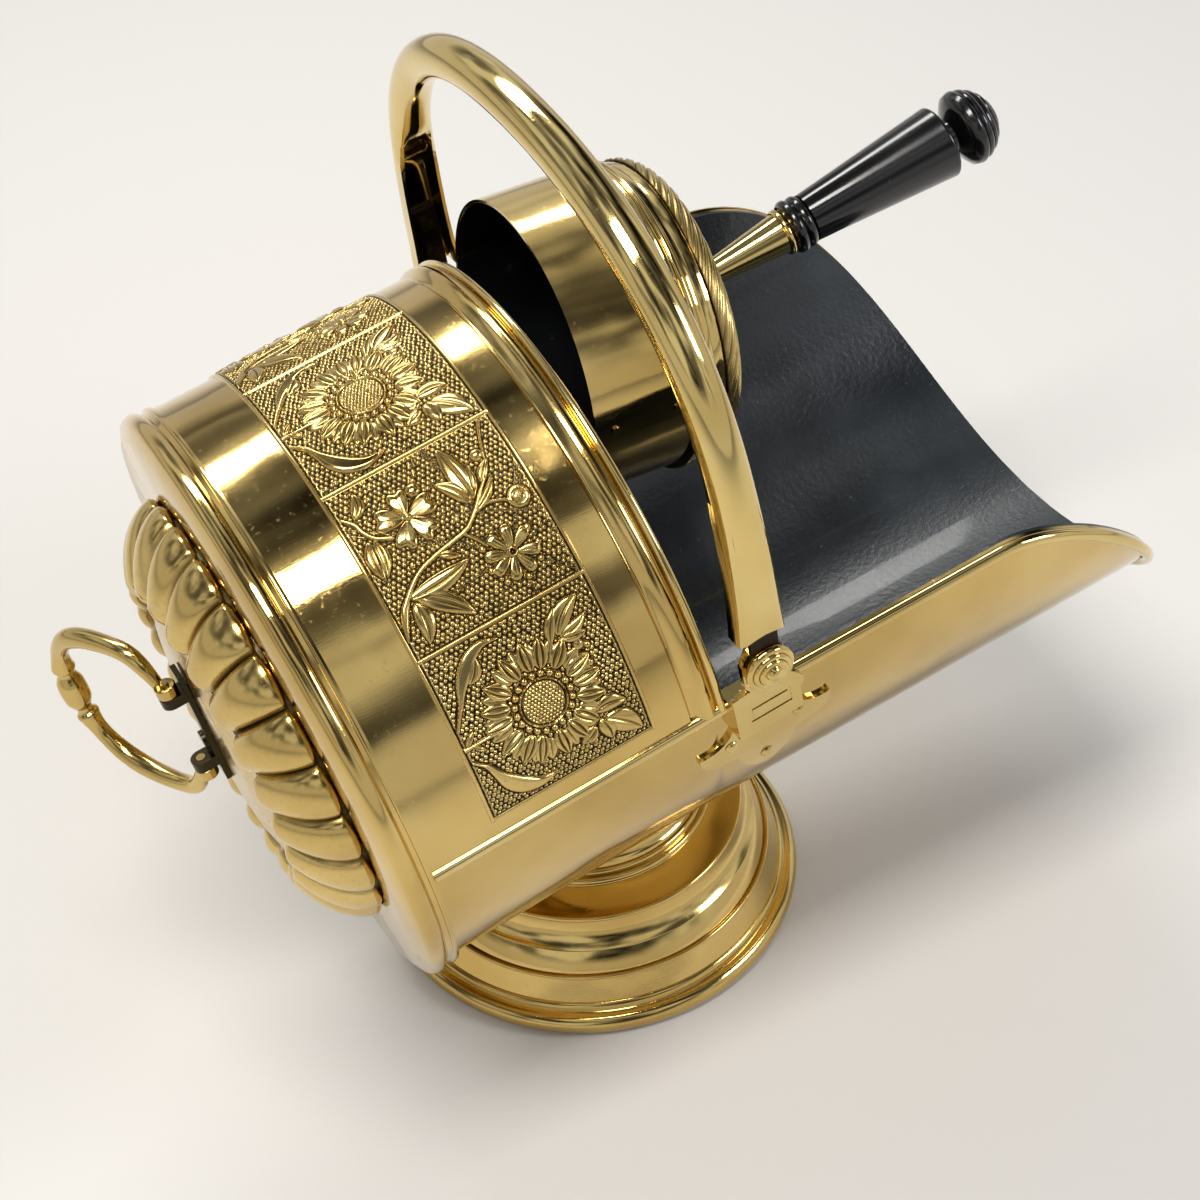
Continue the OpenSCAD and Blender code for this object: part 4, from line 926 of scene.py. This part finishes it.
def makeScoopBowl():
    radius, sheet = scoop["radius"], scoop["sheet"]
    edge = [(s, scoop["lap"]) for s in np.linspace(scoop["hood"], 0, 10)] + [(-0.01, 0)]
    edge += [(-scoop["blade"] * u, -bladeRadius * (1 - (1 - u) ** 2.2))
             for u in [*np.linspace(0, 0.93, 40)[1:], *np.linspace(0.94, 1, 10)]]
    inner = [(s - 0.4, n) for s, n in edge[:-1]]
    dress(loft("scoop_blade_sheet", sheetRings(edge, bladeRadius, sheet), scoopPlace),
          "scoop", "lacquered_brass", "scoop_blade")
    skin = sheetRings(inner, bladeRadius - sheet + 0.02, scoop["lacquer"])
    dress(loft("scoop_black_lacquer", skin, scoopPlace), "scoop", "black_lining", material=blackLacquer)
    edge, inner = ([(s, scoop["hoodEdge"]) for s in np.linspace(start, scoop["hood"], 12)]
                   for start in (0, 0.4))
    dress(loft("scoop_hood_sheet", sheetRings(edge, radius, sheet, below=False), scoopPlace),
          "scoop", "lacquered_brass", "scoop_hood")
    skin = sheetRings(inner, radius - sheet + 0.02, scoop["lacquer"], below=False)
    dress(loft("scoop_hood_black_lacquer", skin, scoopPlace), "scoop", "black_lining", material=blackLacquer)


def makeScoopEnd():
    r, x = scoop["radius"], scoop["hood"]
    profile = [(r, x), (r + 0.8, x)] + arc((r + 0.2, x + 1.6), 1.8, -60, 80, 16)
    profile += arc((r - 0.4, x + 5), 1.8, -60, 70, 16) + arc((r - 10, x + 7), 8.4, 8, 30, 8)
    profile += arc((r - 16.5, x + 12), 14, -4, 76, 30)
    profile += smoothLine([(r - 30, x + 28.5), (18, x + 32.5), (9, x + 33.5)], 6).tolist() + [(0, x + 33.5)]
    profile += [(0, x + 32), (18, x + 31), (r - 31, x + 27), (r - 12, x + 20), (r - 4, x + 9),
                (bladeRadius - scoop["sheet"], x + 1), (bladeRadius - scoop["sheet"], x)]
    dress(turned("scoop_end_cap", profile, scoopAxis, 160), "scoop", "bright_brass", "scoop_end")
    wall = bladeRadius - scoop["sheet"]
    inside = np.array([(0, x + 31.95), (18, x + 30.95), (r - 31.05, x + 26.95), (r - 12.05, x + 19.95),
                       (r - 4.05, x + 9), (wall - 0.05, x + 1.2)])
    thick = [scoop["lacquer"]] * 2
    skin = inside.tolist() + (inside[::-1] - thick).clip(0).tolist()
    dress(turned("scoop_end_black_lacquer", skin, scoopAxis, 96),
          "scoop", "black_lining", material=blackLacquer)


def makeScoopLeaves():
    # leaves that lean round the shoulder as they climb it, as one closed ring
    centre, bend, steps, rows = np.array([scoop["radius"] - 16.5, scoop["hood"] + 12]), 14, 16, 28
    columns = scoop["leaves"] * steps
    rings, hollows = [], []
    for k in range(columns):
        v = 2 * ((k / steps) % 1) - 1
        ring, hollow = [], []
        for lift, order in ((0, range(rows + 1)), (1, range(rows, -1, -1))):
            for j in order:
                u = j / rows
                a = math.radians(scoop["leafFrom"] + scoop["leafSweep"] * u)
                out = np.array([math.cos(a), math.sin(a)])
                end = math.sqrt(max(0, math.sin(math.pi * min(0.97, 0.06 + 0.9 * u))))
                high = 0.2 + 0.8 * math.sqrt(max(0, 1 - v * v))
                vein = 1 - 0.22 * math.exp(-(v / 0.16) ** 2)
                h = (0.35 + scoop["leafHeight"] * high * vein * end) if lift else 0.25
                w = centre + (bend + h) * out
                t = 2 * math.pi * (k + 3 * steps * u) / columns
                ring.append(spun(w[1], w[0], t))
                hollow.append(1 - high * end if lift else 1)
        rings.append(ring)
        hollows.append(hollow)
    bm, row, column = bentGrid(np.array(rings), closedAcross=True, closedAlong=True)
    markHollows(bm, hollows, row, column)
    dress(finishMesh("scoop_leaf_ring", bm, scoopPlace, sharp=60),
          "scoop", "cast_brass", "scoop_leaves", material=embossedBrass)


def domePoint(a, up, radius, height, middle):
    return (radius + up) * cosine(a), middle + (height + up) * sine(a)


def makeScoopHandle():
    f, c = scoop["ferrule"], scoop["collar"]
    start = f + c
    end = start + scoop["grip"]
    hole, g = scoop["tang"], scoop["gripRadius"]
    flange = [(hole, 10.5), (7, 10.5), (7, 12.4), (6.6, 13)]
    flange += smoothLine([(6.6, 13), (5.2, 16), (5.3, 21)], 6).tolist()
    cone = flange + [(9.4, f - 4)] + arc((9.4, f - 2.4), 1.6, -70, 80, 14) + [(9.4, f), (hole, f)]
    dress(turned("scoop_cone_ferrule", cone, gripPlace, 72), "scoop", "bright_brass", "scoop_ferrule")
    rings = [(hole, f), (9.6, f)] + arc((10, f + 2.7), 2.7, -80, 60, 16)
    rings += arc((9.6, f + 7.4), 2.7, -55, 85, 16)
    dress(turned("scoop_double_collar", rings + [(9.4, start), (hole, start)], gripPlace, 72),
          "scoop", "ebonised_wood", "scoop_collar")
    cone = [(hole, start), (11.2, start), (g - 0.4, end - 6)] + arc((g - 1.6, end - 1.6), 1.6, -10, 80, 12)
    dress(turned("scoop_turned_grip", cone + [(8, end), (hole, end)], gripPlace, 72),
          "scoop", "ebonised_wood", "scoop_grip")
    k, knobRadius = scoop["knob"], g + 0.4
    shape = knobRadius, k - 12, end + 11.5
    dome = [(hole, end), (7.4, end), (7.6, end + 4.5), (knobRadius - 3.5, end + 7.5),
            (knobRadius - 0.6, end + 9.6)]
    for groove in range(5):
        for d in range(10):
            up = 0.4 * math.sin(math.pi * min(1, d / 8)) - (0.9 if d == 9 else 0)
            dome.append(domePoint(14.5 * (groove + d / 10), up, *shape))
    dome += [domePoint(a, 0, *shape) for a in (73, 78, 84)]
    dome += [(0, end + k - 0.4), (0, end + 12), (hole, end + 12)]
    dress(turned("scoop_grooved_knob", dome, gripPlace, 96), "scoop", "ebonised_wood", "scoop_knob")


makeScoopBowl()
makeScoopEnd()
makeScoopLeaves()
makeScoopHandle()
print("scoop made")


# CAD nodes that keep their own shape
kept = {
    brightBrass: ["bracket_right", "bracket_left", "bracket_rivets", "scoop_rivets"],
    castBrass: ["tip_pins", "bail_rivets"],
    nearBlackCastBrass: ["tip_plate", "tip_bolt"],
    blackLiningPaintedSheen: ["hood_lining", "end_lining"],
    plainSteel: ["foot_bridge", "foot_nut", "pivot_nut_right", "pivot_nut_left", "scoop_tang", "scoop_nut"],
    # the straps' near-black steel is painted shade inside the hoop's legs
    darkSteelPaintedShade: ["foot_bolt", "bail_strap_right", "bail_strap_left"],
}
softened = {"bracket_right": 0.0006, "bracket_left": 0.0006, "tip_plate": 0.0005}  # metres


def addModifier(node, name, kind, **settings):
    made = node.modifiers.new(name, kind)
    for key, value in settings.items():
        setattr(made, key, value)


def dressKept(name, material):
    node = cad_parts[name]
    node.data.materials.clear()
    node.data.materials.append(material)
    for polygon in node.data.polygons:
        polygon.use_smooth = True
    addModifier(node, "merged corners", "WELD", merge_threshold=0.00001)
    if name in softened:
        # rounded arrises catch the light as the filed castings do
        addModifier(node, "whole flats", "DECIMATE", decimate_type="DISSOLVE", angle_limit=math.radians(1.5))
        addModifier(node, "rounded arrises", "BEVEL", width=softened[name], segments=3,
                    limit_method="ANGLE", angle_limit=math.radians(40))
    addModifier(node, "crisp edges", "EDGE_SPLIT", split_angle=math.radians(42 if name in softened else 30))
    if name in softened:
        addModifier(node, "level flats", "WEIGHTED_NORMAL", keep_sharp=True)


for material, names in kept.items():
    for name in names:
        dressKept(name, material)
print("kept nodes dressed")


# stage: floor, room, lamps and camera, in metres
stage = {"floorSize": 6.0, "floorCode": "#D6D4D1", "backdropCode": "#E2DFDB", "worldStrength": 0.85,
         "patchScale": 2.1, "plainTo": 0.14, "patchyFrom": 0.3}
lamps = [  # name, place, target, size, power in watts and colour
    ("key softbox", (-0.5, -0.35, 1.9), (0, 0, 0.2), (1.1, 0.4), 26, "#FFFAF3"),
    ("fill softbox", (1.4, -1.1, 1.3), (0, 0, 0.2), (0.6, 0.6), 12, "#F6F8FF"),
    ("back softbox", (0.1, 1.25, 1.55), (0, 0, 0.25), (1.3, 0.35), 17, "#FFFDF8"),
]
view = {"place": (-0.3373464, -0.6911424, 0.9506156), "ahead": (0.32224629, 0.63081809, -0.70585117),
        "up": (0.3794794, 0.59701747, 0.70679949), "sensor": 36.0, "lens": 73.863, "near": 0.02}


def makeFloor():
    bm = bmesh.new()
    bmesh.ops.create_grid(bm, x_segments=8, y_segments=8, size=stage["floorSize"] / 2)
    floor = addMesh("floor", bm)
    made, tree, shader, _ = newMaterial("pale studio floor")
    setInputs(tree, shader, {
        "Base Color": linear(stage["floorCode"]), "Roughness": 0.8, "Specular IOR Level": 0.2})
    floor.data.materials.append(made)


def makeWorld():
    # one room for every ray: plain and pale low down, soft brighter and darker patches higher up
    world = bpy.data.worlds.new("soft studio")
    bpy.context.scene.world = world
    world.use_nodes = True
    tree = world.node_tree
    tree.nodes.clear()
    around = addNode(tree, "ShaderNodeTexCoord").outputs["Generated"]
    tone = addRamp(tree, addNoise(tree, around, stage["patchScale"], 2.0),
                   [(0.36, "#1B1917"), (0.5, "#85868A"), (0.62, "#F4F6F8")])
    room, plain = (
        addNode(tree, "ShaderNodeBackground", {"Color": colour, "Strength": stage["worldStrength"]})
        for colour in (tone, linear(stage["backdropCode"])))
    upward = addNode(tree, "ShaderNodeSeparateXYZ", {"Vector": around}).outputs["Z"]
    both = addNode(tree, "ShaderNodeMixShader", {
        0: remap(tree, upward, stage["plainTo"], stage["patchyFrom"]),
        1: plain.outputs["Background"], 2: room.outputs["Background"]})
    addNode(tree, "ShaderNodeOutputWorld", {"Surface": both.outputs["Shader"]})


def addSoftbox(name, place, target, size, power, code):
    # an oblong lamp whose long side lies along x
    lamp = bpy.data.lights.new(name, "AREA")
    lamp.shape = "RECTANGLE"
    lamp.size, lamp.size_y = size
    lamp.energy = power
    lamp.color = linear(code)[:3]
    aim = (Vector(target) - Vector(place)).normalized()
    long = (Vector((1, 0, 0)) - aim * aim.x).normalized()
    axes = Matrix((long, long.cross(aim), -aim)).transposed().to_4x4()
    addObject(name, lamp).matrix_world = Matrix.Translation(place) @ axes


def makeCamera():
    ahead = Vector(view["ahead"]).normalized()
    right = ahead.cross(Vector(view["up"])).normalized()
    lens = bpy.data.cameras.new("photograph's view")
    lens.sensor_width = view["sensor"]
    lens.lens = view["lens"]
    lens.clip_start = view["near"]
    camera = addObject("camera", lens)
    axes = Matrix((right, right.cross(ahead), -ahead)).transposed().to_4x4()
    camera.matrix_world = Matrix.Translation(view["place"]) @ axes
    bpy.context.scene.camera = camera


makeFloor()
makeWorld()
for lamp in lamps:
    addSoftbox(*lamp)
makeCamera()
bpy.context.scene.view_settings.view_transform = "Standard"
print("stage made")
